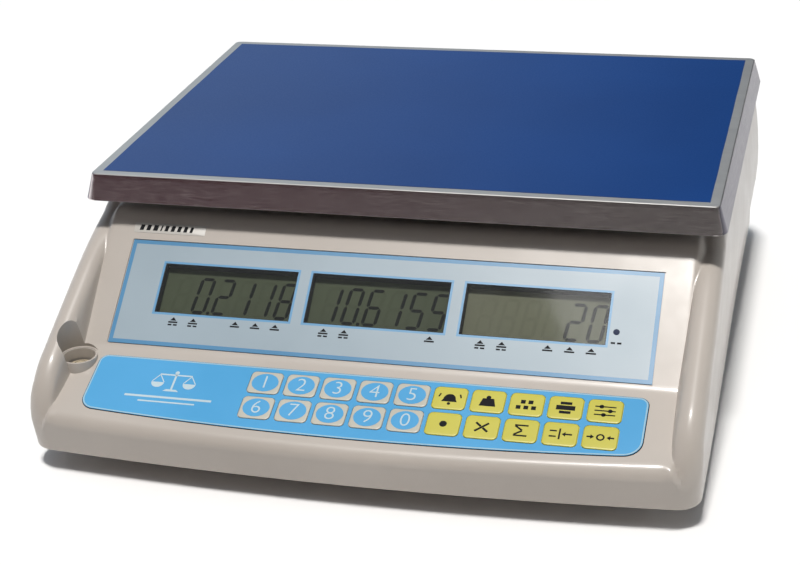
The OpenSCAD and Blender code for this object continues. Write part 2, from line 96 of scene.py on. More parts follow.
def rear(x):
    """Frame on the floor of the rear recess: X as the object's, Y up, Z outward."""
    turned = Matrix.Rotation(math.radians(-90), 4, "X") @ Matrix.Scale(-1, 4, (0, 1, 0))
    return shift(x, BAY_Y, PORT_Z) @ turned


DISPLAY = tilted(DISP_SLOPE)
KEYPAD = tilted(KEY_SLOPE)


# ---- mesh tools
class Shape:
    """Collects closed shells in millimetres, each with a material index."""

    def __init__(self, at=Matrix.Identity(4)):
        self.at, self.verts, self.faces, self.mats = at, [], [], []

    def add(self, verts, faces, mat=0, at=None):
        start = len(self.verts)
        move = self.at if at is None else self.at @ at
        self.verts += [tuple(move @ Vector(v)) for v in verts]
        self.faces += [tuple(start + i for i in f) for f in faces]
        self.mats += [mat] * len(faces)
        return self

    def loft(self, loops, mat=0, at=None, closed=False):
        """Skins equal loops one after another; capped at both ends, or closed into a ring."""
        n, k = len(loops[0]), len(loops)
        faces = []
        for j in range(k if closed else k - 1):
            a, b = j * n, (j + 1) % k * n
            faces += [(a + i, a + (i + 1) % n, b + (i + 1) % n, b + i) for i in range(n)]
        if not closed:
            faces.append(tuple(reversed(range(n))))
            faces.append(tuple(range((k - 1) * n, k * n)))
        return self.add([p for loop in loops for p in loop], faces, mat, at)

    def lathe(self, profile, mat=0, at=None, n=64, closed=False):
        return self.loft([wheel([r] * n, z) for r, z in profile], mat, at, closed)

    def plate(self, outline, z0, z1, mat=0, at=None):
        return self.loft([[(x, y, z0) for x, y in outline], [(x, y, z1) for x, y in outline]], mat, at)

    def plates(self, outlines, z0, z1, mat=0, at=None):
        for outline in outlines:
            self.plate(outline, z0, z1, mat, at)

    def slab(self, w, h, r, z0, z1, edge=0.0, mat=0, at=None):
        """Rounded block whose upper edge is eased by edge."""
        steps = [(0.0, z0)]
        if edge:
            steps += [(edge * (1 - math.cos(a)), z1 - edge * (1 - math.sin(a)))
                      for a in (0, math.pi / 6, math.pi / 3, math.pi / 2)]
        else:
            steps.append((0.0, z1))
        loops = [[(x, y, z) for x, y in round_rect(w - 2 * i, h - 2 * i, max(r - i, 0.05))] for i, z in steps]
        return self.loft(loops, mat, at)

    def mesh(self, name):
        data = bpy.data.meshes.new(name)
        data.from_pydata([tuple(c * MM for c in v) for v in self.verts], [], self.faces)
        data.polygons.foreach_set("material_index", self.mats)
        data.validate()
        return data

    def piece(self, name, body, slot, mats, replaces="", angle=30):
        piece(self.mesh(name), body, mats, replaces, angle)


def piece(data, body, mats, replaces="", angle=30):
    """Makes a mesh a visible piece: shading, finishes, body and the CAD node it stands for."""
    obj = bpy.data.objects.new(data.name, data)
    bpy.context.scene.collection.objects.link(obj)
    for name in mats.split():
        data.materials.append(FINISH[name])
    fix_normals(data)
    data.shade_smooth()
    data.set_sharp_from_angle(angle=math.radians(angle))
    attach(obj, body)
    if replaces:
        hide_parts(replaces)


def fix_normals(data):
    bm = bmesh.new()
    bm.from_mesh(data)
    bmesh.ops.recalc_face_normals(bm, faces=bm.faces)
    bm.to_mesh(data)
    bm.free()


def turns(n):
    """Angles of n equal steps round a circle."""
    return [2 * math.pi * i / n for i in range(n)]


def wheel(radii, z):
    """Loop round the Z axis with one point for each radius."""
    return [(r * math.cos(a), r * math.sin(a), z) for r, a in zip(radii, turns(len(radii)))]


def arc(cx, cy, r, a0, a1, n):
    """Points of an arc from a0 to a1 degrees, in n steps."""
    return [(cx + r * math.cos(math.radians(a0 + (a1 - a0) * i / n)),
             cy + r * math.sin(math.radians(a0 + (a1 - a0) * i / n))) for i in range(n + 1)]


def round_rect(w, h, r, n=6):
    x, y = w / 2 - r, h / 2 - r
    corners = ((x, y, 0), (-x, y, 90), (-x, -y, 180), (x, -y, 270))
    return [p for cx, cy, start in corners for p in arc(cx, cy, r, start, start + 90, n)]


def bar(x0, y0, x1, y1, t):
    """Outline of a straight stroke."""
    dx, dy = x1 - x0, y1 - y0
    size = math.hypot(dx, dy)
    nx, ny = -dy / size * t / 2, dx / size * t / 2
    return [(x0 + nx, y0 + ny), (x0 - nx, y0 - ny), (x1 - nx, y1 - ny), (x1 + nx, y1 + ny)]


def disc(x, y, r, n=20):
    return [(x + r * math.cos(a), y + r * math.sin(a)) for a in turns(n)]


def block(x0, y0, x1, y1):
    return [(x0, y0), (x1, y0), (x1, y1), (x0, y1)]


def boolean(target, tool, operation="DIFFERENCE"):
    """Applies one exact boolean between two meshes and returns the new mesh."""
    a, b = (bpy.data.objects.new("cut", d) for d in (target, tool))
    for o in (a, b):
        fix_normals(o.data)
        bpy.context.scene.collection.objects.link(o)
    mod = a.modifiers.new("cut", "BOOLEAN")
    mod.operation, mod.solver, mod.object = operation, "EXACT", b
    bpy.context.view_layer.update()
    data = bpy.data.meshes.new_from_object(a.evaluated_get(bpy.context.evaluated_depsgraph_get()))
    for o in (a, b):
        bpy.data.objects.remove(o)
    return data


# ---- material tools
FINISH = {}                          # materials by name


def fill_in(node, **values):
    """Sets a node's inputs by name."""
    for key, value in values.items():
        node.inputs[key.replace("_", " ")].default_value = value
    return node


class Wiring:
    """Helpers that add nodes to a tree and join them."""

    def __init__(self, tree):
        self.tree = tree

    def node(self, kind, **settings):
        n = self.tree.nodes.new(kind)
        for key, value in settings.items():
            setattr(n, key, value)
        return n

    def link(self, a, b):
        self.tree.links.new(a, b)

    def put(self, value, socket):
        if isinstance(value, bpy.types.NodeSocket):
            self.link(value, socket)
        else:
            socket.default_value = (*value, 1.0)

    def mix(self, fac, a, b):
        """Mixes two colours; the node's colour sockets are inputs 6 and 7 and output 2."""
        mix = self.node("ShaderNodeMix", data_type="RGBA")
        self.link(fac, mix.inputs["Factor"])
        self.put(a, mix.inputs[6])
        self.put(b, mix.inputs[7])
        return mix.outputs[2]

    def span(self, fac, low, high, fac_low=0.3, fac_high=0.7, curve="LINEAR"):
        """Maps fac_low..fac_high onto low..high."""
        r = self.node("ShaderNodeMapRange", interpolation_type=curve)
        fill_in(r, From_Min=fac_low, From_Max=fac_high, To_Min=low, To_Max=high)
        self.link(fac, r.inputs["Value"])
        return r.outputs["Result"]


class Finish(Wiring):
    """A procedural material: a principled shader with helpers that wire noise into it."""

    def __init__(self, name, **constants):
        self.mat = bpy.data.materials.new(name)
        self.mat.use_nodes = True
        FINISH[name] = self.mat
        super().__init__(self.mat.node_tree)
        self.shader = self.tree.nodes["Principled BSDF"]
        self.coords = self.node("ShaderNodeTexCoord").outputs["Object"]
        fill_in(self.shader, **constants)

    def noise(self, scale, detail=3.0, rough=0.55, stretch=(1, 1, 1), offset=0.0):
        place = (offset, offset * 0.7, offset * 1.3)
        mapping = fill_in(self.node("ShaderNodeMapping"), Scale=stretch, Location=place)
        tex = fill_in(self.node("ShaderNodeTexNoise"), Scale=scale, Detail=detail, Roughness=rough)
        self.link(self.coords, mapping.inputs["Vector"])
        self.link(mapping.outputs["Vector"], tex.inputs["Vector"])
        return tex.outputs["Fac"]

    def ramp(self, fac, *stops):
        ramp = self.node("ShaderNodeValToRGB")
        items = ramp.color_ramp.elements
        while len(items) < len(stops):
            items.new(0.5)
        for item, (at, colour) in zip(items, stops):
            item.position = at
            item.color = (*colour, 1.0)
        self.link(fac, ramp.inputs["Fac"])
        return ramp.outputs["Color"]

    def colour(self, socket):
        self.put(socket, self.shader.inputs["Base Color"])
        return self

    def roughness(self, fac, low, high):
        self.link(self.span(fac, low, high), self.shader.inputs["Roughness"])
        return self

    def bump(self, fac, strength, distance):
        b = fill_in(self.node("ShaderNodeBump"), Strength=strength, Distance=distance)
        self.link(fac, b.inputs["Height"])
        last = self.shader.inputs["Normal"]
        if last.is_linked:
            self.link(last.links[0].from_socket, b.inputs["Normal"])
        self.link(b.outputs["Normal"], last)
        return self


def shade(rgb, gain):
    return tuple(min(1.0, c * gain) for c in rgb)


def moulded(name, rgb, rough=0.45, grain=1400, depth=0.00003, mottle=0.05, **constants):
    """Moulded plastic: fine spark-eroded grain, slight mottling, and a duller handled surface."""
    m = Finish(name, **constants)
    cloud, fine = m.noise(9, 4), m.noise(grain, 2, 0.6, offset=3.1)
    soil = m.noise(38, 5, 0.65, offset=7.7)
    base = m.ramp(cloud, (0.3, shade(rgb, 1 - mottle)), (0.7, shade(rgb, 1 + mottle)))
    m.colour(m.mix(m.span(soil, 0.0, 0.06, 0.35, 0.9), base, shade(rgb, 0.72)))
    m.roughness(soil, rough - 0.06, rough + 0.07).bump(fine, 0.35, depth).bump(cloud, 0.15, 0.0002)


def brushed(name, rgb, stretch, low=0.26, high=0.46, contrast=0.06, fine=2600):
    """Brushed stainless sheet: fine scratches along one direction, a fine glitter and a faint mottle."""
    m = Finish(name, Metallic=1.0)
    lines = m.noise(fine, 3, 0.6, stretch)
    blotch = m.noise(55, 5, 0.7, offset=2.3)
    glitter = m.noise(1900, 2, 0.5, offset=8.1)
    dark, pale = shade(rgb, 1 - contrast), shade(rgb, 1 + contrast)
    streak = m.ramp(lines, (0.30, dark), (0.50, rgb), (0.70, pale))
    bright = m.mix(m.span(glitter, 0.0, 0.3, 0.60, 0.78), streak, shade(rgb, 1.25))
    m.colour(m.mix(m.span(blotch, 0.0, 0.6), bright, shade(rgb, 0.92)))
    m.roughness(lines, low, high).bump(lines, 0.06, 0.000006)


def metal(name, rgb, rough=0.4, scale=260, pits=0.00004, tarnish=0.75):
    m = Finish(name, Metallic=1.0)
    grain, cloud = m.noise(scale, 5, 0.65), m.noise(22, 4, offset=4.2)
    m.colour(m.mix(m.span(cloud, 0.0, 0.6), rgb, shade(rgb, tarnish)))
    m.roughness(grain, rough - 0.08, rough + 0.12).bump(grain, 0.4, pits)


def printed(name, rgb, rough=0.36, orange_peel=620, depth=0.00003, mottle=0.03, **constants):
    """Ink behind a textured plastic sheet."""
    m = Finish(name, **constants)
    peel, cloud = m.noise(orange_peel, 2, 0.5), m.noise(14, 3, offset=1.9)
    dust = m.noise(420, 6, 0.75, offset=9.0)
    base = m.ramp(cloud, (0.3, shade(rgb, 1 - mottle)), (0.7, shade(rgb, 1 + mottle)))
    m.colour(m.mix(m.span(dust, 0.0, 0.22, 0.66, 0.8), base, (0.6, 0.6, 0.58)))
    m.roughness(cloud, rough - 0.05, rough + 0.06).bump(peel, 0.30, depth)


def rubber(name, rgb, rough=0.72):
    m = Finish(name)
    pores, dust = m.noise(1500, 4, 0.7), m.noise(60, 5, 0.7, offset=6.0)
    m.colour(m.mix(m.span(dust, 0.0, 0.35, 0.5, 0.75), rgb, (0.16, 0.155, 0.15)))
    m.roughness(dust, rough - 0.08, rough + 0.12).bump(pores, 0.5, 0.00005)


# ---- housing
def soft_max(a, b, k):
    """The larger of a and b, blended where they are within k of each other."""
    h = np.clip(0.5 + 0.5 * (a - b) / k, 0, 1)
    return b * (1 - h) + a * h + k * h * (1 - h)


def soft_min(a, b, k):
    return -soft_max(-a, -b, k)


def step(a, b, x):
    """Smooth step from 0 at a to 1 at b."""
    t = np.clip((x - a) / (b - a), 0, 1)
    return t * t * (3 - 2 * t)


RAIL_KNEE = (-83.0, 87.0)
RAIL_SLOPE = math.radians(26.2)
RAIL_TOP_SLOPE = 0.353
RAIL_ROUND = 7.0                     # radius of a rail's crest
RAIL_FALL = 6.2                      # how far in the crest's round goes over into the inner side
RAIL_STEEP = 5.5                     # slope of that inner side
NOSE_R = 43.5
NOSE_FROM = (RAIL_KNEE[0] - 73.8 * math.cos(RAIL_SLOPE), RAIL_KNEE[1] - 73.8 * math.sin(RAIL_SLOPE))
NOSE_C = (NOSE_FROM[0] + NOSE_R * math.sin(RAIL_SLOPE), NOSE_FROM[1] - NOSE_R * math.cos(RAIL_SLOPE))


def panel_height(y):
    """Side view of the keypad panel, the display panel and the deck."""
    keypad = CREASE_Z + (y - CREASE_Y) * math.tan(KEY_SLOPE)
    display = CREASE_Z + (y - CREASE_Y) * math.tan(DISP_SLOPE)
    return soft_min(soft_max(keypad, display, 0.8), DECK_Z, 3.0)


def rail_height(y):
    """Crest line of a side rail, with its rounded nose."""
    low = RAIL_KNEE[1] + (y - RAIL_KNEE[0]) * math.tan(RAIL_SLOPE)
    top = RAIL_KNEE[1] + (y - RAIL_KNEE[0]) * RAIL_TOP_SLOPE
    run = soft_min(soft_min(low, top, 2.5), DECK_Z, 1.5)
    reach = np.clip(NOSE_C[0] - y, 0, NOSE_R - 0.01)
    nose = NOSE_C[1] + np.sqrt(NOSE_R ** 2 - reach ** 2)
    past = np.maximum(NOSE_C[0] - NOSE_R - y, 0) * 20
    return np.where(y < NOSE_FROM[0], nose - past, run)


def top_height(x, y):
    """Height of the housing's upper skin before its outer edge is rounded."""
    side = np.abs(x)
    panel, crest = panel_height(y), rail_height(y)
    inside = np.maximum(HALF_W - SPINE_IN - side, 0)
    near = np.minimum(inside, RAIL_FALL)
    drop = RAIL_ROUND - np.sqrt(RAIL_ROUND ** 2 - near ** 2) + RAIL_STEEP * np.maximum(inside - RAIL_FALL, 0)
    keep = 1 - step(-88, -70, y)
    rail = crest - drop * keep
    over = side - RAIL_IN - 1.5
    limited = panel - (over + np.sqrt(over ** 2 + 1))
    both = soft_max(limited, rail, 1.6)
    onto_deck = step(-60, -49, y)
    return both * (1 - onto_deck) + DECK_Z * onto_deck


def inner_height(x, y):
    """Inside of the skin: the rails stay solid above it."""
    return np.minimum(panel_height(y), rail_height(y)) - 3.3 + 0 * x


def barrel(y, z):
    """How far the side walls stand out or in: straight at the front, barrelled to the rear."""
    reach = np.where(z < 55, 16.3, 21.0)
    return soft_max(1.2 - ((z - 55) / reach) ** 2, -2.3, 0.8) * step(-150, 100, y)


def wall_reach(y, z, outx, outy, inset):
    """Distance from the swept line to the wall, in the direction (outx, outy)."""
    lean = FRONT_LEAN * np.clip((z - BASE_Z) / 17, 0, 1)
    return SPINE_IN - inset + barrel(y, z) * np.abs(outx) + lean * np.maximum(-outy, 0)


# Grid lines over half the width and from front to back, close together where the skin bends.
X_HALF = [0, 20, 40, 60, 80, 100, 115, 130, 140, 145, 148, 150, 151, 151.7, 152.2, 152.6, 153, 153.3,
          153.6, 153.9, 154.2, 154.5, 154.8, 155.2, 155.7, 156.2, 157, 158, 159, 160, 161]
Y_STATIONS = [-171.5, -170.6, -169.6, -168.4, -167, -165.5, -164, -162, -160, -157.5, -155, -152, -149,
              -146, -142, -138, -134, -131.5, -130, -129.3, -129, -128.7, -128.4, -128.1, -127.4, -126,
              -122, -118, -112, -106, -100, -94, -90, -87, -84, -81.5, -79, -76.5, -74, -71.5, -69.5,
              -68, -67, -66, -65, -64, -63, -61.5, -60, -58, -56, -54, -52, -50, -48, -45, -40, -30,
              -15, 0, 20, 40, 60, 80, 100, 120, 140, 152, 161, 164, 166.5, 168, 169.5, 170.6, 171.5]


def plan_grid():
    """Grid over the plan, bowed along the front, with rounded corners."""
    xs = np.array([-x for x in reversed(X_HALF[1:])] + X_HALF, float)
    x, y = np.meshgrid(xs, np.array(Y_STATIONS, float), indexing="ij")
    sag = FRONT_BOW * (np.minimum(np.abs(x), BOW_SPAN) / BOW_SPAN) ** 2
    y = y + sag * (1 - step(FRONT_Y + SPINE_IN, -142, y))
    stand = np.clip((rail_height(y) - panel_height(y) - 3.75) / RAIL_STEEP, -1.2, 2.8)
    near = step(146, 151, np.abs(x)) * (1 - step(156, 160, np.abs(x)))
    x = x - np.sign(x) * stand * near        # keeps one grid line on the foot of the rail
    r = CORNER_R - SPINE_IN
    a = np.clip((np.abs(x) - BOW_SPAN) / r, 0, 1)
    low = np.clip((CORNER_CY - y) / r, 0, 1)
    high = np.clip((y - (REAR_Y - CORNER_R)) / r, 0, 1)
    b = np.maximum(low, high)
    x_round = np.sign(x) * (BOW_SPAN + r * a * np.sqrt(1 - b ** 2 / 2))
    y_round = np.where(low > 0, CORNER_CY - r * low * np.sqrt(1 - a ** 2 / 2),
                       REAR_Y - CORNER_R + r * high * np.sqrt(1 - a ** 2 / 2))
    corner = (a > 0) & (b > 0)
    return np.where(corner, x_round, x), np.where(corner, y_round, y)


def grid_quads(nx, ny):
    """Faces of a grid of nx by ny points, numbered along Y first."""
    return [(i * ny + j, (i + 1) * ny + j, (i + 1) * ny + j + 1, i * ny + j + 1)
            for i in range(nx - 1) for j in range(ny - 1)]


def edge_loop(nx, ny):
    """Places of the points round the rim of such a grid, counter-clockwise."""
    return ([(i, 0) for i in range(nx)] + [(nx - 1, j) for j in range(1, ny)]
            + [(i, ny - 1) for i in range(nx - 2, -1, -1)] + [(0, j) for j in range(ny - 2, 0, -1)])


def sheet_faces(nx, ny):
    """Faces of a thin sheet: a grid, its copy underneath, numbered after it, and the rim between."""
    n = nx * ny
    upper = grid_quads(nx, ny)
    under = [tuple(n + v for v in reversed(f)) for f in upper]
    rim = [i * ny + j for i, j in edge_loop(nx, ny)]
    return upper + under + [(a, n + a, n + b, b) for a, b in zip(rim, rim[1:] + rim[:1])]


def housing_form(name, height, inset, round_front, round_side, floor_rows):
    """Closed solid: the grid on top, a rounded edge swept round it, the walls and a flat floor.

    floor_rows gives the height and the draw-in of each row of points at the walls' foot."""
    x, y = plan_grid()
    nx, ny = x.shape
    z = height(x, y)
    loop = edge_loop(nx, ny)
    lx, ly, lz = (np.array([g[i, j] for i, j in loop]) for g in (x, y, z))
    tx, ty = np.roll(lx, -1) - np.roll(lx, 1), np.roll(ly, -1) - np.roll(ly, 1)
    size = np.hypot(tx, ty)
    outx, outy = ty / size, -tx / size
    nose_round = 3.0
    front = round_front + (nose_round - round_front) * step(149, 155, np.abs(lx)) * (ly < 0)
    radius = front + (round_side - front) * step(0.25, 1.0, np.abs(outx)) * (1 - step(120, 165, ly))

    def slant(px, py):
        gy = (height(px, py + 0.05) - height(px, py - 0.05)) / 0.1
        return 1 / np.sqrt(1 + gy ** 2)

    spine_low = 15.0
    spine_z = spine_low + (lz - radius / np.maximum(slant(lx, ly), 0.5) - spine_low) * step(-166, -135, ly)

    def outside(t, angle):
        out, up = t * math.sin(angle), t * math.cos(angle)
        px, py, pz = lx + outx * out, ly + outy * out, spine_z + up
        a = (pz - height(px, py)) * slant(px, py) + radius
        b = out - wall_reach(ly, pz, outx, outy, inset) + radius
        f = np.minimum(np.maximum(a, b), 0) + np.hypot(np.maximum(a, 0), np.maximum(b, 0)) - radius
        return f, (px, py, pz)

    rings = []
    fan, halvings, wall_rows = 30, 30, 8
    for k in range(1, fan + 1):
        angle = math.pi / 2 * k / fan
        lo, hi = np.zeros_like(lx), np.full_like(lx, 45.0)
        for _ in range(halvings):
            mid = (lo + hi) / 2
            f = outside(mid, angle)[0]
            lo, hi = np.where(f < 0, mid, lo), np.where(f < 0, hi, mid)
        rings.append(outside(hi, angle)[1])
    start = rings[-1][2]
    stop = floor_rows[0][0]
    for k in range(1, wall_rows + 1):
        pz = start + (stop - start) * k / wall_rows
        out = wall_reach(ly, pz, outx, outy, inset)
        rings.append((lx + outx * out, ly + outy * out, pz))
    for fz, back in floor_rows[1:]:
        pz = np.full_like(lx, fz)
        out = wall_reach(ly, pz, outx, outy, inset) - back
        rings.append((lx + outx * out, ly + outy * out, pz))

    verts = list(zip(x.ravel(), y.ravel(), z.ravel()))
    faces = grid_quads(nx, ny)
    last = [i * ny + j for i, j in loop]
    n = len(loop)
    for px, py, pz in rings:
        new = list(range(len(verts), len(verts) + n))
        verts += list(zip(px, py, pz))
        faces += [(last[i], new[i], new[(i + 1) % n], last[(i + 1) % n]) for i in range(n)]
        last = new
    faces.append(tuple(last))
    return Shape().add(verts, faces).mesh(name)


def first_cuts():
    """Openings that don't touch each other."""
    cut = Shape()
    for wx in WINDOW_X:
        cut.slab(*WINDOW, 0.4, -9, 3, at=DISPLAY @ shift(wx, WINDOW_MID))
    cut.lathe([(1.6, -6), (1.6, 3)], at=DISPLAY @ shift(*LAMP), n=24)
    cut.slab(190.2, 34.25, 0.5, -1.6, 3, at=KEYPAD @ shift(KEYS_MID, -24.2))
    cut.slab(64, 46, 2, 90, 101, at=shift(0, 96.8))
    cut.lathe([(10.0, LEVEL_RIM_Z), (10.0, 110)], at=shift(*LEVEL), n=96)
    cut.slab(BAY[1] - BAY[0], BAY[3] - BAY[2], 2.0, 0, 9, at=rear((BAY[0] + BAY[1]) / 2))
    return cut.mesh("first_cuts")


def second_cuts():
    """Openings inside the first ones."""
    cut = Shape()
    cut.slab(281, 60.6, 0.4, -0.6, 3, at=DISPLAY @ shift(0, 32.6))
    cut.lathe([(8.6, 30), (8.6, LEVEL_RIM_Z + 2)], at=shift(*LEVEL), n=96)
    for px, w, h in ((INLET_X, 27.4, 20.2), (SERIAL_X, 17.4, 8.8), (SWITCH_X, 13.4, 19.4)):
        cut.slab(w, h, 0.8, -9, 1, at=rear(px))
    return cut.mesh("second_cuts")


def make_housing():
    """Upper housing: the outer form less the inner one, with all its openings."""
    foot = ((11.0, 0.0), (10.6, 0.07), (10.3, 0.3), (10.15, 0.8))
    outer = housing_form("outer", top_height, 0.0, 5.5, 7.0, foot)
    inner = housing_form("inner", inner_height, WALL, 2.0, 3.0, ((5.0, 0.0),))
    bay = Shape()
    bay.plate(block(BAY[0] - 3, BAY_Y - WALL, BAY[1] + 3, 185), BAY[2] - 3, BAY[3] + 3)
    inner = boolean(inner, bay.mesh("bay_block"))
    shell = boolean(outer, inner)
    shell = boolean(shell, first_cuts())
    shell = boolean(shell, second_cuts())
    shell.name = "housing_shell"
    piece(shell, "base", "housing_plastic", "upper_housing", 32)


def make_level_collar():
    """Collar of the level indicator, with a step at the foot that holds the vial."""
    rim = LEVEL_RIM_Z
    profile = [(8.1, 33.5), (8.1, rim - 0.5), (8.25, rim - 0.15), (8.6, rim), (8.95, rim), (9.3, rim - 0.15),
               (9.45, rim - 0.5), (9.45, 31.5), (5.0, 31.5), (5.0, 33.5)]
    collar = Shape(shift(*LEVEL)).lathe(profile, n=96, closed=True)
    collar.piece("level_collar", "base", "housing_plastic", "housing_plastic")


# ---- tray and film
def ring(out, r, z):
    """Outline of the tray, grown by out from its bend."""
    return [(x, y + TRAY_CY, z) for x, y in round_rect(TRAY_W + 2 * out, TRAY_D + 2 * out, r, 10)]


def make_tray():
    """Folded pan: top sheet, tight bend, flared skirt with an eased lower edge, and its inside."""
    skirt, flare, sheet, bend = 13.8, 4.0, 1.2, 0.8
    lean = math.atan2(flare, skirt)
    loops = []
    for k in range(7):
        a = (math.pi / 2 - lean) * k / 6
        out = bend * math.sin(a) - bend * math.tan(math.pi / 4 - lean / 2)
        loops.append(ring(out, 3.2 + out, TRAY_Z - bend * (1 - math.cos(a))))
    first_z = loops[-1][0][2]
    for f in (0.15, 0.3, 0.45, 0.6, 0.75, 0.9, 0.975, 1.0):
        z = first_z + (TRAY_Z - skirt + 0.1 - first_z) * f
        out = flare * (TRAY_Z - z) / skirt
        loops.append(ring(out, 3.4 + 3.4 * f, z))
    for back, up in ((0.02, 0.08), (0.12, 0.0), (sheet - 0.3, 0.0), (sheet - 0.1, 0.1), (sheet, 0.4)):
        out = flare - back
        loops.append(ring(out, 6.9 - back, TRAY_Z - skirt + up))
    for z in (TRAY_Z - 9, TRAY_Z - 5, TRAY_Z - sheet - 0.6, TRAY_Z - sheet):
        out = flare * (TRAY_Z - z) / skirt - sheet - (0.5 if z == TRAY_Z - sheet else 0)
        loops.append(ring(out, 2.2 + 3.4 * (TRAY_Z - z) / skirt, z))
    data = Shape().loft(loops).mesh("tray_pan")
    # Each face gets the steel copy for its direction, which paints how light falls on it: the front and back
    # copy is lighter with a painted mauve reflection, and the side and fold copies are darker as painted
    # shade. The fold copy also dims the fold's highlight. The hem takes the front or side copy the same way.
    hem = (TRAY_Z - skirt + 0.6) * MM
    for p in data.polygons:
        level = abs(p.normal.z) if p.center.z > hem else 0
        if level > 0.45:
            p.material_index = 0 if level > 0.985 else 3
        else:
            p.material_index = 2 if abs(p.normal.x) > abs(p.normal.y) else 1
    mats = "tray_steel tray_steel_front tray_steel_side tray_steel_fold"
    piece(data, "tray", mats, "weighing_tray", 40)


def make_film():
    """Thin sheet with very slight waves and an uneven hand-cut edge."""
    w, d, nx, ny = 319.6, 223.0, 97, 69
    phase = np.random.default_rng(11).uniform(0, 6.28, 6)
    x, y = np.meshgrid(np.linspace(-w / 2, w / 2, nx), np.linspace(-d / 2, d / 2, ny), indexing="ij")
    ripple = np.sin(x / 23 + phase[0]) * np.sin(y / 31 + phase[1])
    wave = 0.035 * (ripple + np.sin(x / 61 + y / 47 + phase[2]))
    at_side = (np.abs(x) > w / 2 - 0.1) * np.sign(x)
    at_end = (np.abs(y) > d / 2 - 0.1) * np.sign(y)
    cut_x = x + 0.09 * np.sin(y / 9 + phase[3]) * np.sin(y / 37) * at_side
    cut_y = y + 0.08 * np.sin(x / 11 + phase[4]) * np.sin(x / 43 + 1) * at_end + TRAY_CY
    top = TRAY_Z + 0.14 + wave
    verts = [v for z in (top, np.full_like(top, TRAY_Z + 0.01))
             for v in zip(cut_x.ravel(), cut_y.ravel(), z.ravel())]
    sheet = Shape().add(verts, sheet_faces(nx, ny))
    sheet.piece("film_sheet", "tray", "tray_film", "tray_film", "protective_film", 40)


# ---- display
def make_display_sheet():
    """Printed sheet: blue border, pale field, and a light blue frame round each clear window."""
    half, low, high, band, line = 140.0, 2.8, 62.4, 2.2, 1.2
    xs = {-half, -half + band, half - band, half}
    ys = {low, low + band, high - band, high}
    for wx in WINDOW_X:
        for s in (-1, 1):
            xs |= {wx + s * WINDOW[0] / 2, wx + s * (WINDOW[0] / 2 + line)}
    for s in (-1, 1):
        ys |= {WINDOW_MID + s * WINDOW[1] / 2, WINDOW_MID + s * (WINDOW[1] / 2 + line)}

    def pick(x, y):
        """Which of the four inks the cell round this point has."""
        if abs(x) > half - band or not low + band < y < high - band:
            return 1
        near = min(WINDOW_X, key=lambda wx: abs(wx - x))
        dx, dy = abs(x - near) - WINDOW[0] / 2, abs(y - WINDOW_MID) - WINDOW[1] / 2
        return 3 if max(dx, dy) < 0 else 2 if max(dx, dy) < line else 0

    xs, ys = sorted(xs), sorted(ys)
    picks = [pick((x0 + x1) / 2, (y0 + y1) / 2) for x0, x1 in zip(xs, xs[1:]) for y0, y1 in zip(ys, ys[1:])]
    faces = sheet_faces(len(xs), len(ys))
    shape = Shape(DISPLAY).add([(x, y, z) for z in (-0.1, -0.6) for x in xs for y in ys], faces)
    shape.mats = picks * 2 + [1] * (len(faces) - 2 * len(picks))
    inks = "display_field display_border window_line clear_window"
    shape.piece("display_sheet", "base", "display_sheet", inks, "display_overlay")


SEGMENTS = {"0": "abcdef", "1": "bc", "2": "abdeg", "5": "acdfg", "6": "acdefg", "8": "abcdefg"}
READOUT = {"left": "0.2118", "middle": "10.6155", "right": "20"}
FIGURE = (6.5, 19.2)                 # between the middles of a figure's outer bars
FIGURE_PITCH = 11.2
FIGURE_SLANT = 0.13
PLACES = 6


def digit_bars(lit, half=0.9, gap=0.22):
    """Outlines of the lit bars of one seven-bar figure, slanted, with pointed ends."""
    w, h = FIGURE
    m = h / 2
    runs = {"a": (0, h, w, h), "b": (w, m, w, h), "c": (w, 0, w, m), "d": (0, 0, w, 0),
            "e": (0, 0, 0, m), "f": (0, m, 0, h), "g": (0, m, w, m)}
    bars = []
    for x0, y0, x1, y1 in (runs[name] for name in lit):
        size = x1 - x0 + y1 - y0
        dx, dy = (x1 - x0) / size, (y1 - y0) / size
        spots = ((gap, 0), (gap + half, half), (size - gap - half, half),
                 (size - gap, 0), (size - gap - half, -half), (gap + half, -half))
        outline = [(x0 + a * dx + b * dy, y0 + a * dy + b * dx) for a, b in spots]
        bars.append([(x + FIGURE_SLANT * y, y) for x, y in outline])
    return bars


def make_readouts():
    """Lit figures of each display, over the faint bars of all its places."""
    for wx, (side, text) in zip(WINDOW_X, READOUT.items()):
        shape = Shape(DISPLAY @ shift(wx + 26.4, WINDOW_MID - 10.6, LCD_DEPTH))
        for k in range(PLACES):
            shape.plates(digit_bars("abcdefg"), 0, 0.02, mat=1, at=shift(-k * FIGURE_PITCH, 0))
        place = 0
        for mark in reversed(text):
            if mark == ".":
                point = shift(-(place - 1) * FIGURE_PITCH - 2.2, 0)
                shape.plate(round_rect(1.7, 1.7, 0.5), 0, 0.06, at=point)
                continue
            shape.plates(digit_bars(SEGMENTS[mark]), 0, 0.06, at=shift(-place * FIGURE_PITCH, 0))
            place += 1
        # the left and middle readouts take the darker ghost copy, which is painted shade
        mats = "lcd_ink lcd_ghost" if side == "right" else "lcd_ink lcd_ghost_dim"
        shape.piece("readout_" + side, "base", "lcd_glass", mats)


def make_gaskets():
    """Foam frame between each display and its window; it is made near-black so that it also paints the shade
    inside the deep window recess.
    """
    shape = Shape(DISPLAY)
    w, h = WINDOW
    for wx in WINDOW_X:
        loops = [[(x + wx, y + WINDOW_MID, z) for x, y in round_rect(w - i, h - i, 0.3)]
                 for i, z in ((0.1, LCD_DEPTH), (0.1, -0.62), (0.9, -0.62), (0.9, LCD_DEPTH))]
        shape.loft(loops, closed=True)
    # the near-black rubber here is partly the frame's own colour and partly painted shade of the recess
    shape.piece("window_gaskets", "base", "bumper_rubber", "bumper_rubber")


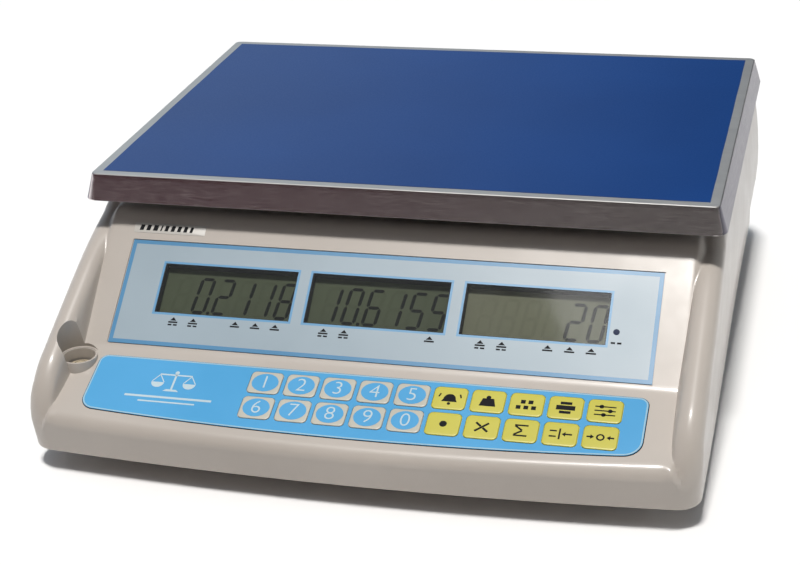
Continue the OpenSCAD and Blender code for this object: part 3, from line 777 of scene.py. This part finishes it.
def pointer(x, top, dashed):
    """Outlines of a small triangle over a bar, with two dashes under that where dashed."""
    marks = [[(x - 1.7, top - 1.9), (x + 1.7, top - 1.9), (x, top)],
             bar(x - 2.5, top - 2.8, x + 2.5, top - 2.8, 0.85)]
    if dashed:
        marks += [bar(x + x0, top - 4.3, x + x0 + 2.1, top - 4.3, 0.85) for x0 in (-2.5, 0.4)]
    return marks


def make_display_marks():
    """Plain pointers under the windows where the legends are, and the charge lamp's dot."""
    shape = Shape(DISPLAY)
    top = WINDOW_MID - WINDOW[1] / 2 - 2.3
    columns = (-25.0, -14.2, 8.6, 19.4, 30.0)
    marks = []
    for wx, shown in zip(WINDOW_X, ((0, 1, 2, 3, 4), (0, 1, 4), (0, 1, 2, 3, 4))):
        for k in shown:
            marks += pointer(wx + columns[k], top, k < 2)
    lamp_x, lamp_y = LAMP
    for x0, x1 in ((-2.1, 0.0), (1.0, 3.1)):
        marks.append(bar(lamp_x + x0, lamp_y - 5.9, lamp_x + x1, lamp_y - 5.9, 1.0))
    shape.plates(marks, -0.1, -0.07)
    shape.lathe([(1.6, -0.1), (1.6, -0.05), (1.5, -0.03), (0.05, -0.03)], mat=1, at=shift(*LAMP), n=32)
    shape.piece("display_marks", "base", "display_sheet", "black_ink lamp_lens")


# ---- keypad
def figure_mesh(shape, text, size, z0, z1, mat):
    """Adds a figure from Blender's own font as a thin plate."""
    curve = bpy.data.curves.new("figure", "FONT")
    curve.body, curve.size = text, size * MM
    curve.align_x, curve.align_y = "CENTER", "CENTER"
    curve.resolution_u = 4
    curve.extrude = (z1 - z0) / 2 * MM
    curve.offset = -0.14 * MM
    holder = bpy.data.objects.new("figure", curve)
    bpy.context.scene.collection.objects.link(holder)
    bpy.context.view_layer.update()
    data = bpy.data.meshes.new_from_object(holder.evaluated_get(bpy.context.evaluated_depsgraph_get()))
    verts = [(v.co.x / MM, v.co.y / MM, v.co.z / MM + (z0 + z1) / 2) for v in data.vertices]
    shape.add(verts, [tuple(p.vertices) for p in data.polygons], mat)
    bpy.data.objects.remove(holder)
    bpy.data.meshes.remove(data)
    bpy.data.curves.remove(curve)


def arrow(x0, x1):
    """Outlines of a level arrow from x0 to x1."""
    s = math.copysign(1.0, x1 - x0)
    tip = [(x1, 0.0), (x1 - s * 1.5, 1.125), (x1 - s * 1.5, -1.125)]
    return [bar(x0, 0.0, x1 - s * 1.2, 0.0, 0.75), tip if s > 0 else tip[::-1]]


def half_ring(start):
    return arc(0, 0, 1.7, start, start + 180, 10) + arc(0, 0, 1.0, start + 180, start, 10)


ICONS = {
    "alarm": [arc(0, -0.4, 2.5, 0, 180, 12) + [(-3.2, -1.9), (3.2, -1.9)], disc(0, -2.9, 0.7),
              bar(-4.6, 0.4, -4.0, 2.2, 0.6), bar(4.6, 0.4, 4.0, 2.2, 0.6)],
    "unit_weight": [[(-3.4, -2.6), (3.4, -2.6), (2.3, 1.4), (-2.3, 1.4)], disc(0, 1.9, 1.0, 12)],
    "sample": [block(x, y, x + 1.9, y + 1.9)
               for x, y in ((-4.1, -2.6), (-1.0, -2.6), (2.1, -2.6), (-2.5, 0.3), (0.6, 0.3))],
    "print": [block(-3.8, -1.2, 3.8, 1.1), block(-2.3, 1.6, 2.3, 3.0), block(-2.3, -3.1, 2.3, -1.7)],
    "function": [bar(-4.2, y, 4.2, y, 0.6) for y in (-2.1, 0, 2.1)]
                + [disc(x, y, 0.95) for x, y in ((-1.6, 2.1), (2.0, 0), (-0.4, -2.1))],
    "point": [disc(0, 0, 1.55)],
    "clear": [bar(-2.6, -2.2, 2.6, 2.2, 0.95), bar(-2.6, 2.2, -0.45, 0.38, 0.95),
              bar(0.45, -0.38, 2.6, -2.2, 0.95)],
    "total": [bar(-2.7, y, 2.7, y, 0.75) for y in (2.6, -2.6)]
             + [bar(-2.5, 2.2, 0.5, 0.1, 0.8), bar(0.5, -0.1, -2.5, -2.2, 0.8)],
    "tare": [bar(-0.35, -2.7, -0.35, 2.7, 0.7)] + arrow(4.6, 0.5)
            + [bar(-4.4, y, -1.6, y, 0.7) for y in (-1.4, 1.4)],
    "zero": arrow(-5.4, -2.4) + arrow(5.4, 2.4) + [half_ring(0), half_ring(180)],
}
NUMBER_KEYS = ("12345", "67890")
ICON_KEYS = (("alarm", "unit_weight", "sample", "print", "function"),
             ("point", "clear", "total", "tare", "zero"))


def key_cap(shape, w=16.4, h=14.0):
    """Embossed cap with a soft shoulder and a slight crown, on a ledge under the sheet."""
    shape.slab(w + 1.6, h + 1.4, 1.0, -0.7, -0.15)
    levels = ((0.0, -0.6), (0.0, 0.42), (0.06, 0.56), (0.2, 0.67), (0.45, 0.73), (1.2, 0.76), (3.0, 0.79),
              (5.0, 0.8))
    shape.loft([[(x, y, z) for x, y in round_rect(w - 2 * i, h - 2 * i, max(2.4 - i, 0.4))]
                for i, z in levels])


def number_key(shape, label):
    """Blue oval with a white figure."""
    shape.plate([(6.85 * math.cos(a), 5.75 * math.sin(a)) for a in turns(48)], 0.6, 0.83, mat=1)
    figure_mesh(shape, label, 11.6, 0.82, 0.86, 2)


def icon_key(shape, label):
    """Black picture, drawn a fifth larger than in ICONS."""
    shape.plates([[(1.2 * x, 1.2 * y) for x, y in outline] for outline in ICONS[label]], 0.72, 0.84, mat=1)


def make_keys(first, rows, print_on, slot, mats):
    """Two rows of keys that start in column first."""
    for row, labels in enumerate(rows):
        for col, label in enumerate(labels, first):
            x, y = KEY_ORIGIN[0] + KEY_PITCH[0] * col, KEY_ORIGIN[1] - KEY_PITCH[1] * row
            shape = Shape(KEYPAD @ shift(x, y))
            key_cap(shape)
            print_on(shape, label)
            node = "key_" + label
            shape.piece(node + "_cap", node, slot, mats, node, 40)


def keypad_outline(inset):
    """Outline of the keypad sheet, moved inward: straight top and bowed lower edge."""
    x, r_bow, low = 140.0, 1845.0, 46.4
    centre = low - r_bow
    tilt = math.degrees(math.asin((x - 12) / r_bow))
    r = r_bow - inset
    lower = [(r * math.sin(math.radians(t)), -centre - r * math.cos(math.radians(t)))
             for t in np.linspace(-tilt, tilt, 41)]
    return (arc(x - 4.5, -10.4, 4.5 - inset, 0, 90, 8) + arc(4.5 - x, -10.4, 4.5 - inset, 90, 180, 8)
            + arc(7.5 - x, -34.1, 7.5 - inset, 180, 260, 8) + lower
            + arc(x - 9, -32.6, 9 - inset, -82, 0, 8))


def make_keypad_line():
    """Thin pale line printed just inside the sheet's edge, and a black line round it that is a painted shadow
    of the sheet's raised edge.
    """
    shape = Shape(KEYPAD)
    # the second ring, in black ink just outside the sheet's edge, is the painted shadow of that edge
    for outer, inner, z0, z1, mat in ((0.15, 0.85, 0.38, 0.43, 0), (-0.38, 0.02, -0.3, 0.06, 1)):
        rims = [(outer, z0), (outer, z1), (inner, z1), (inner, z0)]
        shape.loft([[(x, y, z) for x, y in keypad_outline(inset)] for inset, z in rims], mat, closed=True)
    shape.piece("keypad_line", "base", "keypad_sheet", "keypad_line black_ink")


def make_emblem():
    """Plain balance sign and two bars in the sheet's empty left part."""
    shape = Shape(KEYPAD @ shift(-96, -24.5))
    marks = [bar(0, -1.2, 0, 9.6, 1.0), bar(-8.6, 8.6, 8.6, 8.6, 0.9), disc(0, 10.2, 1.1, 24),
             [(-4.2, -2.2), (4.2, -2.2), (2.6, -0.9), (-2.6, -0.9)],
             bar(-23, -6.4, 23, -6.4, 1.3), bar(-15, -9.4, 15, -9.4, 0.9)]
    for x in (-8.4, 8.4):
        marks.append(arc(x, 3.4, 3.4, 180, 360, 14))
        marks += [bar(x, 8.4, x + s * 3.2, 3.6, 0.5) for s in (-1, 1)]
    shape.plates(marks, 0.36, 0.43)
    shape.piece("keypad_emblem", "base", "keypad_sheet", "white_ink")


# ---- level indicator, label
def make_vial():
    """Domed clear vial with its ring, and the bubble under the dome."""
    shape = Shape(shift(*LEVEL))
    dome = [(7.95, 33.6), (7.95, 41.9), (7.7, 42.15), (6.9, 42.25), (4.5, 42.42), (2.0, 42.49), (0.3, 42.5)]
    shape.lathe(dome + [(0.3, 41.4), (6.65, 41.35), (6.65, 33.6)], closed=True, n=72)
    shape.lathe([(3.3, 42.5), (3.3, 42.53), (3.0, 42.54), (3.0, 42.5)], mat=1, closed=True, n=48)
    shape.piece("vial_lens", "base", "clear_acrylic", "clear_acrylic black_ink", "level_vial")
    drop = Shape(shift(*LEVEL) @ shift(0.5, 0.3))
    drop.lathe([(0.2, 41.0), (1.9, 41.05), (2.3, 41.2), (2.2, 41.31), (1.6, 41.34), (0.2, 41.35)], n=40)
    drop.piece("vial_bubble", "base", "vial_fluid", "vial_bubble")


def make_label():
    """Paper label with plain bars where the rating is printed."""
    shape = Shape(DISPLAY @ shift(-121.5, 69.8))
    shape.slab(40, 6, 0.3, 0.0, 0.13, edge=0.03)
    x = -17.0
    for width in (2.2, 2.2, 2.6, 0.8, 2.0, 2.0, 2.0, 2.0, 1.6):
        shape.plate([(x, -1.6), (x + width, -1.6), (x + width + 0.5, 1.7), (x + 0.5, 1.7)], 0.12, 0.15, mat=1)
        x += width + 1.55
    shape.piece("label_sheet", "base", "label_film", "label_film black_ink", "rating_label")


# ---- rear ports
def make_inlet():
    """Mains inlet: flange and shroud with a chamfered socket, and three blades."""
    flange, shroud, socket, blades = (Shape(rear(INLET_X)) for _ in range(4))
    flange.slab(30.8, 24.0, 2.2, 0.0, 1.8, edge=0.5)
    shroud.slab(27.0, 19.8, 1.0, -22.0, 1.0)
    socket.plate([(-12, -8.5), (12, -8.5), (12, 4.6), (8.2, 8.5), (-8.2, 8.5), (-12, 4.6)], -16.0, 4.0)
    shell = boolean(flange.mesh("flange"), shroud.mesh("shroud"), "UNION")
    shell = boolean(shell, socket.mesh("socket"))
    shell.name = "mains_inlet_shell"
    piece(shell, "base", "black_plastic", "power_inlet")
    for x, y in ((-7, -3), (0, 0.5), (7, -3)):
        blades.loft([[(x + a * s, y + b * s, z) for a, b in ((1, -2), (1, 2), (-1, 2), (-1, -2))]
                     for s, z in ((1, -26), (1, -3.2), (0.9, -2.5), (0.55, -2.0))])
    blades.piece("mains_blades", "base", "zinc_steel", "zinc_steel")


def d_outline(w, h, r=1.6, taper=0.9):
    """Outline of a nine-way connector shell: a rounded trapezium."""
    x, y = w / 2, h / 2
    points = []
    for cx, cy, start in ((x, y, 0), (-x, y, 90), (taper - x, -y, 180), (x - taper, -y, 270)):
        points += arc(cx - math.copysign(r, cx), cy - math.copysign(r, cy), r, start, start + 90, 6)
    return points


def make_serial():
    """Nine-way serial port: plate and shell, insert, pins in two rows, and two nuts."""
    shape = Shape(rear(SERIAL_X))
    outer, inner = d_outline(17.0, 8.4), d_outline(15.8, 7.2, 1.2)
    rims = ((outer, -3.4), (outer, 2.2), (d_outline(16.8, 8.2), 2.5), (d_outline(16.0, 7.4, 1.3), 2.5),
            (inner, 2.3), (inner, -3.4))
    shape.loft([[(x, y, z) for x, y in line] for line, z in rims], closed=True)
    shape.slab(30.8, 12.4, 1.0, -3.5, -2.6)
    shape.slab(18.0, 10.0, 0.6, -12.0, -3.4, mat=1)
    shape.plate(d_outline(15.9, 7.3, 1.2), -3.4, -1.5, mat=1)
    pins = [((k - 2) * 2.77, 1.42) for k in range(5)] + [((k - 1.5) * 2.77, -1.42) for k in range(4)]
    for x, y in pins:
        shape.lathe([(0.5, -3.0), (0.5, 0.9), (0.35, 1.25), (0.1, 1.35)], mat=2, at=shift(x, y), n=12)
    for x in (-12.5, 12.5):
        nut = [(2.6, -0.1), (2.6, 1.9), (2.3, 2.2), (1.3, 2.2), (1.3, 0.6), (0.1, 0.6)]
        shape.lathe(nut, mat=3, at=shift(x, 0), n=6)
    mats = "port_steel black_plastic pin_gold zinc_steel"
    shape.piece("serial_shell", "base", "port_steel", mats, "serial_port")


def make_rocker_marks():
    """Plain on and off marks, a bar and a ring, on the two faces of the rocker."""
    shape = Shape(shift(SWITCH_X, BAY_Y - 4.6, PORT_Z) @ Matrix.Rotation(math.radians(10), 4, "X"))
    ridge, lip, spread = Vector((5.4, 0)), 8.6, math.radians(42)
    for side in (-1, 1):
        tip = Vector((lip * math.cos(spread), side * lip * math.sin(spread)))
        mid, along = (ridge + tip) / 2, (tip - ridge).normalized()
        out = Vector((side * along.y, -side * along.x))
        face = Matrix(((1, 0, 0, 0), (0, along.x, out.x, mid.x), (0, along.y, out.y, mid.y), (0, 0, 0, 1)))
        if side > 0:
            shape.plate([(-0.35, -1.3), (0.35, -1.3), (0.35, 1.3), (-0.35, 1.3)], -0.1, 0.05, at=face)
        else:
            rims = ((1.5, -0.1), (1.5, 0.05), (0.95, 0.05), (0.95, -0.1))
            shape.lathe(rims, at=face, n=32, closed=True)
    shape.piece("rocker_marks", "rocker", "rocker_plastic", "white_ink")


# ---- feet
PAD_PROFILE = [
    (0.1, 0.35), (2.6, 0.35), (2.8, 0.0), (5.2, 0.0), (5.4, 0.35), (6.2, 0.35), (6.4, 0.0), (8.6, 0.0),
    (8.8, 0.35), (9.6, 0.35), (9.8, 0.0), (12.1, 0.0), (12.4, 0.15), (12.5, 0.5), (12.45, 3.0),
    (12.2, 3.4), (11.2, 3.55), (11.0, 3.8), (10.95, 4.7), (10.7, 5.0), (4.3, 5.0), (4.07, 4.8),
    (4.07, 1.8), (0.1, 1.8)]


def flange_rings():
    """Turning flange: 48 shallow grooves round its rim, and both edges eased."""
    return [wheel([10.0 + out - 0.28 * (i % 2) for i in range(96)], z)
            for z, out in ((5.2, -0.4), (5.55, 0.0), (9.05, 0.0), (9.4, -0.4))]


def thread_rings(low=9.3, high=32.0, rows=68, pitch=1.25, n=28):
    """Rings up the stud whose radius runs in and out once a turn."""
    rings = []
    for k in range(rows + 1):
        z = low + (high - low) * k / rows
        phases = [(z / pitch - i / n) % 1.0 for i in range(n)]
        rings.append(wheel([3.97 - 0.62 * abs(2 * p - 1) for p in phases], z))
    return rings


def make_feet():
    """Each foot's pad, and its stud with a turning flange and a thread."""
    for name, place in FEET.items():
        pad = Shape(shift(*place)).lathe(PAD_PROFILE, closed=True, n=72)
        pad.piece("foot_sole_" + name, "foot_" + name, "foot_rubber", "foot_rubber", "foot_pad_" + name)
        stud = Shape(shift(*place))
        stud.loft(flange_rings())
        stud.lathe([(0.1, 2.0), (3.6, 2.0), (3.95, 2.4), (3.95, 5.3), (0.1, 5.3)], n=40, closed=True)
        stud.loft(thread_rings())
        stud.piece("foot_screw_" + name, "stud_" + name, "zinc_steel", "zinc_steel", "foot_stud_" + name)


# ---- finishes
DULL = {"Specular_IOR_Level": 0.08}     # behind the windows, where the cover does the shining


def clear_sheet(name, alpha, rough=0.04):
    """Clear plastic: what is behind shows through a slight tint, and it has a gloss of its own."""
    m = Finish(name, Alpha=alpha, Specular_IOR_Level=0.9, Coat_Weight=1.0, Coat_Roughness=rough)
    smudge = m.noise(45, 4, 0.6)
    m.colour(m.ramp(smudge, (0.3, (0.012, 0.013, 0.012)), (0.7, (0.022, 0.024, 0.022))))
    m.roughness(smudge, rough, rough + 0.08).bump(smudge, 0.05, 0.00005)


def plastics():
    gloss = {"Coat_Weight": 0.25, "Coat_Roughness": 0.13, "Specular_IOR_Level": 0.36}
    moulded("housing_plastic", (0.486, 0.441, 0.397), 0.34, **gloss)
    moulded("base_plastic", (0.39, 0.35, 0.315), 0.5)
    moulded("battery_case", (0.03, 0.033, 0.04), 0.5)
    moulded("black_plastic", (0.014, 0.014, 0.016), 0.42)
    moulded("rocker_plastic", (0.32, 0.012, 0.012), 0.3, Coat_Weight=0.3)
    rubber("bumper_rubber", (0.030, 0.030, 0.034))
    rubber("foot_rubber", (0.026, 0.026, 0.028))
    clear_sheet("clear_window", 0.22)
    clear_sheet("clear_acrylic", 0.10)


def metals():
    """The tray's steel is brushed along each face: top, front and back, sides, and the front's fold. The
    front and back copy is the same steel painted lighter and mauve as a painted reflection, and the side and
    fold copies are painted darker as painted shade, which also dims the fold's highlight.
    """
    brushed("tray_steel", (0.60, 0.595, 0.58), (0.02, 1, 1), 0.44, 0.6)
    # painted light: the front copy is lighter and mauve for a painted reflection, and the side and fold
    # copies are darker for painted shade
    brushed("tray_steel_front", (0.72, 0.65, 0.655), (0.045, 1, 1), 0.17, 0.26, 0.12, 3300)
    brushed("tray_steel_side", (0.21, 0.20, 0.23), (1, 0.03, 1), 0.26, 0.4)
    brushed("tray_steel_fold", (0.36, 0.355, 0.35), (0.02, 1, 1), 0.48, 0.6)
    metal("cast_aluminium", (0.50, 0.51, 0.52), 0.55, 500, 0.0001)
    metal("machined_aluminium", (0.66, 0.67, 0.68), 0.35)
    metal("zinc_steel", (0.58, 0.58, 0.56), 0.34)
    metal("dark_steel", (0.16, 0.16, 0.17), 0.42)
    metal("transformer_iron", (0.20, 0.17, 0.14), 0.6, 700, 0.0001)
    metal("port_steel", (0.62, 0.63, 0.64), 0.3)
    metal("pin_gold", (0.80, 0.60, 0.25), 0.3)


def film():
    """Blue film: cloudy colour, pale specks of dust and very slight waves."""
    m = Finish("tray_film", Specular_IOR_Level=0.34, Coat_Weight=0.04, Coat_Roughness=0.15)
    haze, wave = m.noise(5, 3), m.noise(60, 2, 0.4, offset=2.0)
    specks = m.noise(900, 5, 0.8, offset=5.5)
    tone = m.ramp(haze, (0.3, (0.002, 0.034, 0.160)), (0.7, (0.004, 0.046, 0.205)))
    m.colour(m.mix(m.span(specks, 0.0, 0.2, 0.7, 0.82), tone, (0.35, 0.42, 0.6)))
    m.roughness(specks, 0.30, 0.42).bump(wave, 0.2, 0.0001).bump(specks, 0.1, 0.00003)


def prints():
    """Inks of the two sheets, the keys and the label, and the materials painted like them."""
    printed("display_field", (0.302, 0.382, 0.439))
    printed("display_border", (0.054, 0.223, 0.418))
    printed("window_line", (0.108, 0.302, 0.518))
    printed("keypad_sheet", (0.058, 0.336, 0.642))
    printed("keypad_line", (0.302, 0.504, 0.619))
    printed("key_cream", (0.500, 0.484, 0.415))
    printed("key_disc", (0.066, 0.345, 0.650))
    printed("key_yellow", (0.544, 0.500, 0.064))
    printed("white_ink", (0.484, 0.605, 0.656))
    printed("label_film", (0.518, 0.497, 0.461), 0.4)
    printed("circuit_film", (0.560, 0.420, 0.130), 0.3)
    printed("circuit_board", (0.014, 0.120, 0.045), 0.4, 240, 0.0001, 0.2)
    printed("vial_fluid", (0.700, 0.590, 0.420), 0.2, Coat_Weight=0.5)
    printed("vial_bubble", (0.75, 0.70, 0.55), 0.1)
    printed("lamp_lens", (0.006, 0.016, 0.060), 0.5, Specular_IOR_Level=0.2)


def display_inks():
    """Dull surfaces of the displays; the darker copies, for the left and middle windows, are painted shade:
    the same display made dimmer than the right one.
    """
    printed("black_ink", (0.010, 0.010, 0.012), 0.5, **DULL)
    for name, rgb in (("ink", (0.008, 0.011, 0.009)), ("ghost", (0.284, 0.298, 0.199)),
                      ("ghost_dim", (0.129, 0.156, 0.091))):
        printed("lcd_" + name, rgb, 0.5, 90, 0.00001, **DULL)
    # the second LCD glass colour is a darker copy of the first, and is painted shade
    for name, rgb in (("glass", (0.305, 0.320, 0.216)), ("glass_painted_shade", (0.142, 0.172, 0.102))):
        printed("lcd_" + name, rgb, 0.5, 90, 0.00001, 0.07, **DULL)


# ---- CAD nodes that keep their shape
def dress(finish, edge, *names):
    """Gives CAD nodes their finish, and eases their edges without changing the mesh itself."""
    for name in names:
        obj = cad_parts[name]
        obj.data.materials.clear()
        obj.data.materials.append(FINISH[finish])
        if edge:
            mod = obj.modifiers.new("eased_edges", "BEVEL")
            mod.width, mod.segments = edge * MM, 2
            mod.limit_method, mod.angle_limit = "ANGLE", math.radians(50)
            mod.harden_normals = False


def dress_nodes():
    dress("base_plastic", 0.35, "lower_housing", "battery_cover")
    dress("cast_aluminium", 0.8, "tray_carrier")
    dress("bumper_rubber", 0.8, "carrier_bumpers")
    dress("machined_aluminium", 0.3, "load_cell")
    dress("zinc_steel", 0.3, "cell_mount_plate", "cell_spacer")
    dress("dark_steel", 0.2, "cell_fixed_bolts", "cell_live_bolts", "overload_stop")
    dress("zinc_steel", 0.15, "housing_screws")
    dress("circuit_board", 0, "display_board", "main_board")
    # painted shade: the left and middle displays wear a dimmer copy of the right one's glass
    dress("lcd_glass_painted_shade", 0, "lcd_left", "lcd_middle")
    dress("lcd_glass", 0, "lcd_right")
    dress("lamp_lens", 0, "charge_lamp")
    dress("keypad_sheet", 0, "keypad_overlay")
    dress("circuit_film", 0, "keypad_circuit")
    dress("vial_fluid", 0, "level_fluid")
    dress("transformer_iron", 0.5, "transformer")
    dress("battery_case", 0.8, "battery")
    dress("black_plastic", 0.3, "switch_frame")
    dress("rocker_plastic", 0.35, "power_rocker")


# ---- stage, light, camera
def make_stage():
    """A pale floor just under the feet."""
    reach, z = 40.0, -0.0003
    data = bpy.data.meshes.new("floor")
    corners = [(-reach, -reach, z), (reach, -reach, z), (reach, reach, z), (-reach, reach, z)]
    data.from_pydata(corners, [], [(0, 1, 2, 3)])
    floor = bpy.data.objects.new("floor", data)
    bpy.context.scene.collection.objects.link(floor)
    m = Finish("studio_floor", Roughness=0.8)
    m.colour(m.ramp(m.noise(1.5, 2), (0.3, (0.88, 0.88, 0.88)), (0.7, (0.92, 0.92, 0.92))))
    data.materials.append(m.mat)


def make_world():
    """Studio surround: dim in front, bright at the rear left, grey overhead; plain pale to the camera."""
    world = bpy.data.worlds.new("studio")
    bpy.context.scene.world = world
    world.use_nodes = True
    sky = Wiring(world.node_tree)
    split = sky.node("ShaderNodeSeparateXYZ")
    sky.link(sky.node("ShaderNodeTexCoord").outputs["Generated"], split.inputs[0])

    def slide(axis, start, stop):
        return sky.span(split.outputs[axis], 0.0, 1.0, start, stop, "SMOOTHSTEP")

    to_right = slide("X", -0.42, -0.02)
    behind = sky.mix(to_right, (0.46, 0.56, 0.66), (0.03, 0.05, 0.08))
    before = sky.mix(to_right, (0.052, 0.022, 0.028), (0.075, 0.075, 0.070))
    around = sky.mix(slide("Y", -0.6, 0.75), before, behind)
    lit = sky.mix(slide("Z", 0.70, 1.0), around, (0.42, 0.44, 0.46))
    to_camera = sky.node("ShaderNodeLightPath").outputs["Is Camera Ray"]
    sky.link(sky.mix(to_camera, lit, (0.86, 0.86, 0.86)), sky.tree.nodes["Background"].inputs["Color"])


def aim(name, light, at, look):
    """Puts a light in the scene at one point, turned to another."""
    obj = bpy.data.objects.new(name, light)
    obj.location = at
    obj.rotation_euler = (Vector(look) - Vector(at)).to_track_quat("-Z", "Y").to_euler()
    bpy.context.scene.collection.objects.link(obj)
    return obj


def disk_light(name, size, energy, at, look):
    light = bpy.data.lights.new(name, "AREA")
    light.shape, light.size, light.energy = "DISK", size, energy
    return aim(name, light, at, look)


def make_lights():
    """High sun, a softbox that only shows as a gloss, and a weak fill from the right without one."""
    sun = bpy.data.lights.new("key", "SUN")
    sun.energy, sun.angle, sun.color = 2.95, math.radians(8), (1.0, 0.975, 0.945)
    aim("key", sun, (-0.04, -0.16, 1.5), (0, 0, 0))
    softbox = disk_light("softbox", 0.5, 1.7, (0.087, -0.36, 1.5), (0.087, -0.36, 0))
    softbox.visible_diffuse = False
    fill = disk_light("fill", 1.2, 6.0, (2.0, 0.35, 0.45), (0, 0, 0.05))
    fill.data.color = (0.94, 0.98, 1.0)
    fill.visible_glossy = False


def make_camera():
    right = Vector((0.96713, 0.24896, -0.04668)).normalized()
    forward = Vector((-0.24442, 0.87054, -0.42750)).normalized()
    up = right.cross(forward).normalized()
    right = forward.cross(up)
    data = bpy.data.cameras.new("camera")
    data.sensor_width, data.lens = 36.0, 77.43
    data.shift_x, data.shift_y = -0.0060, 0.0064
    data.clip_start, data.clip_end = 0.02, 30
    camera = bpy.data.objects.new("camera", data)
    camera.matrix_world = Matrix((right, up, -forward)).transposed().to_4x4()
    camera.location = (0.22324, -0.84905, 0.44746)
    bpy.context.scene.collection.objects.link(camera)
    bpy.context.scene.camera = camera


make_camera()
make_world()
make_lights()
make_stage()
for finishes in (plastics, metals, film, prints, display_inks):
    finishes()
dress_nodes()
make_housing()
make_level_collar()
make_tray()
make_film()
make_display_sheet()
make_readouts()
make_gaskets()
make_display_marks()
make_keys(0, NUMBER_KEYS, number_key, "key_blue", "key_cream key_disc white_ink")
make_keys(5, ICON_KEYS, icon_key, "key_yellow", "key_yellow black_ink")
make_keypad_line()
make_emblem()
make_vial()
make_label()
make_inlet()
make_serial()
make_rocker_marks()
make_feet()
bpy.context.scene.view_settings.view_transform = "Standard"
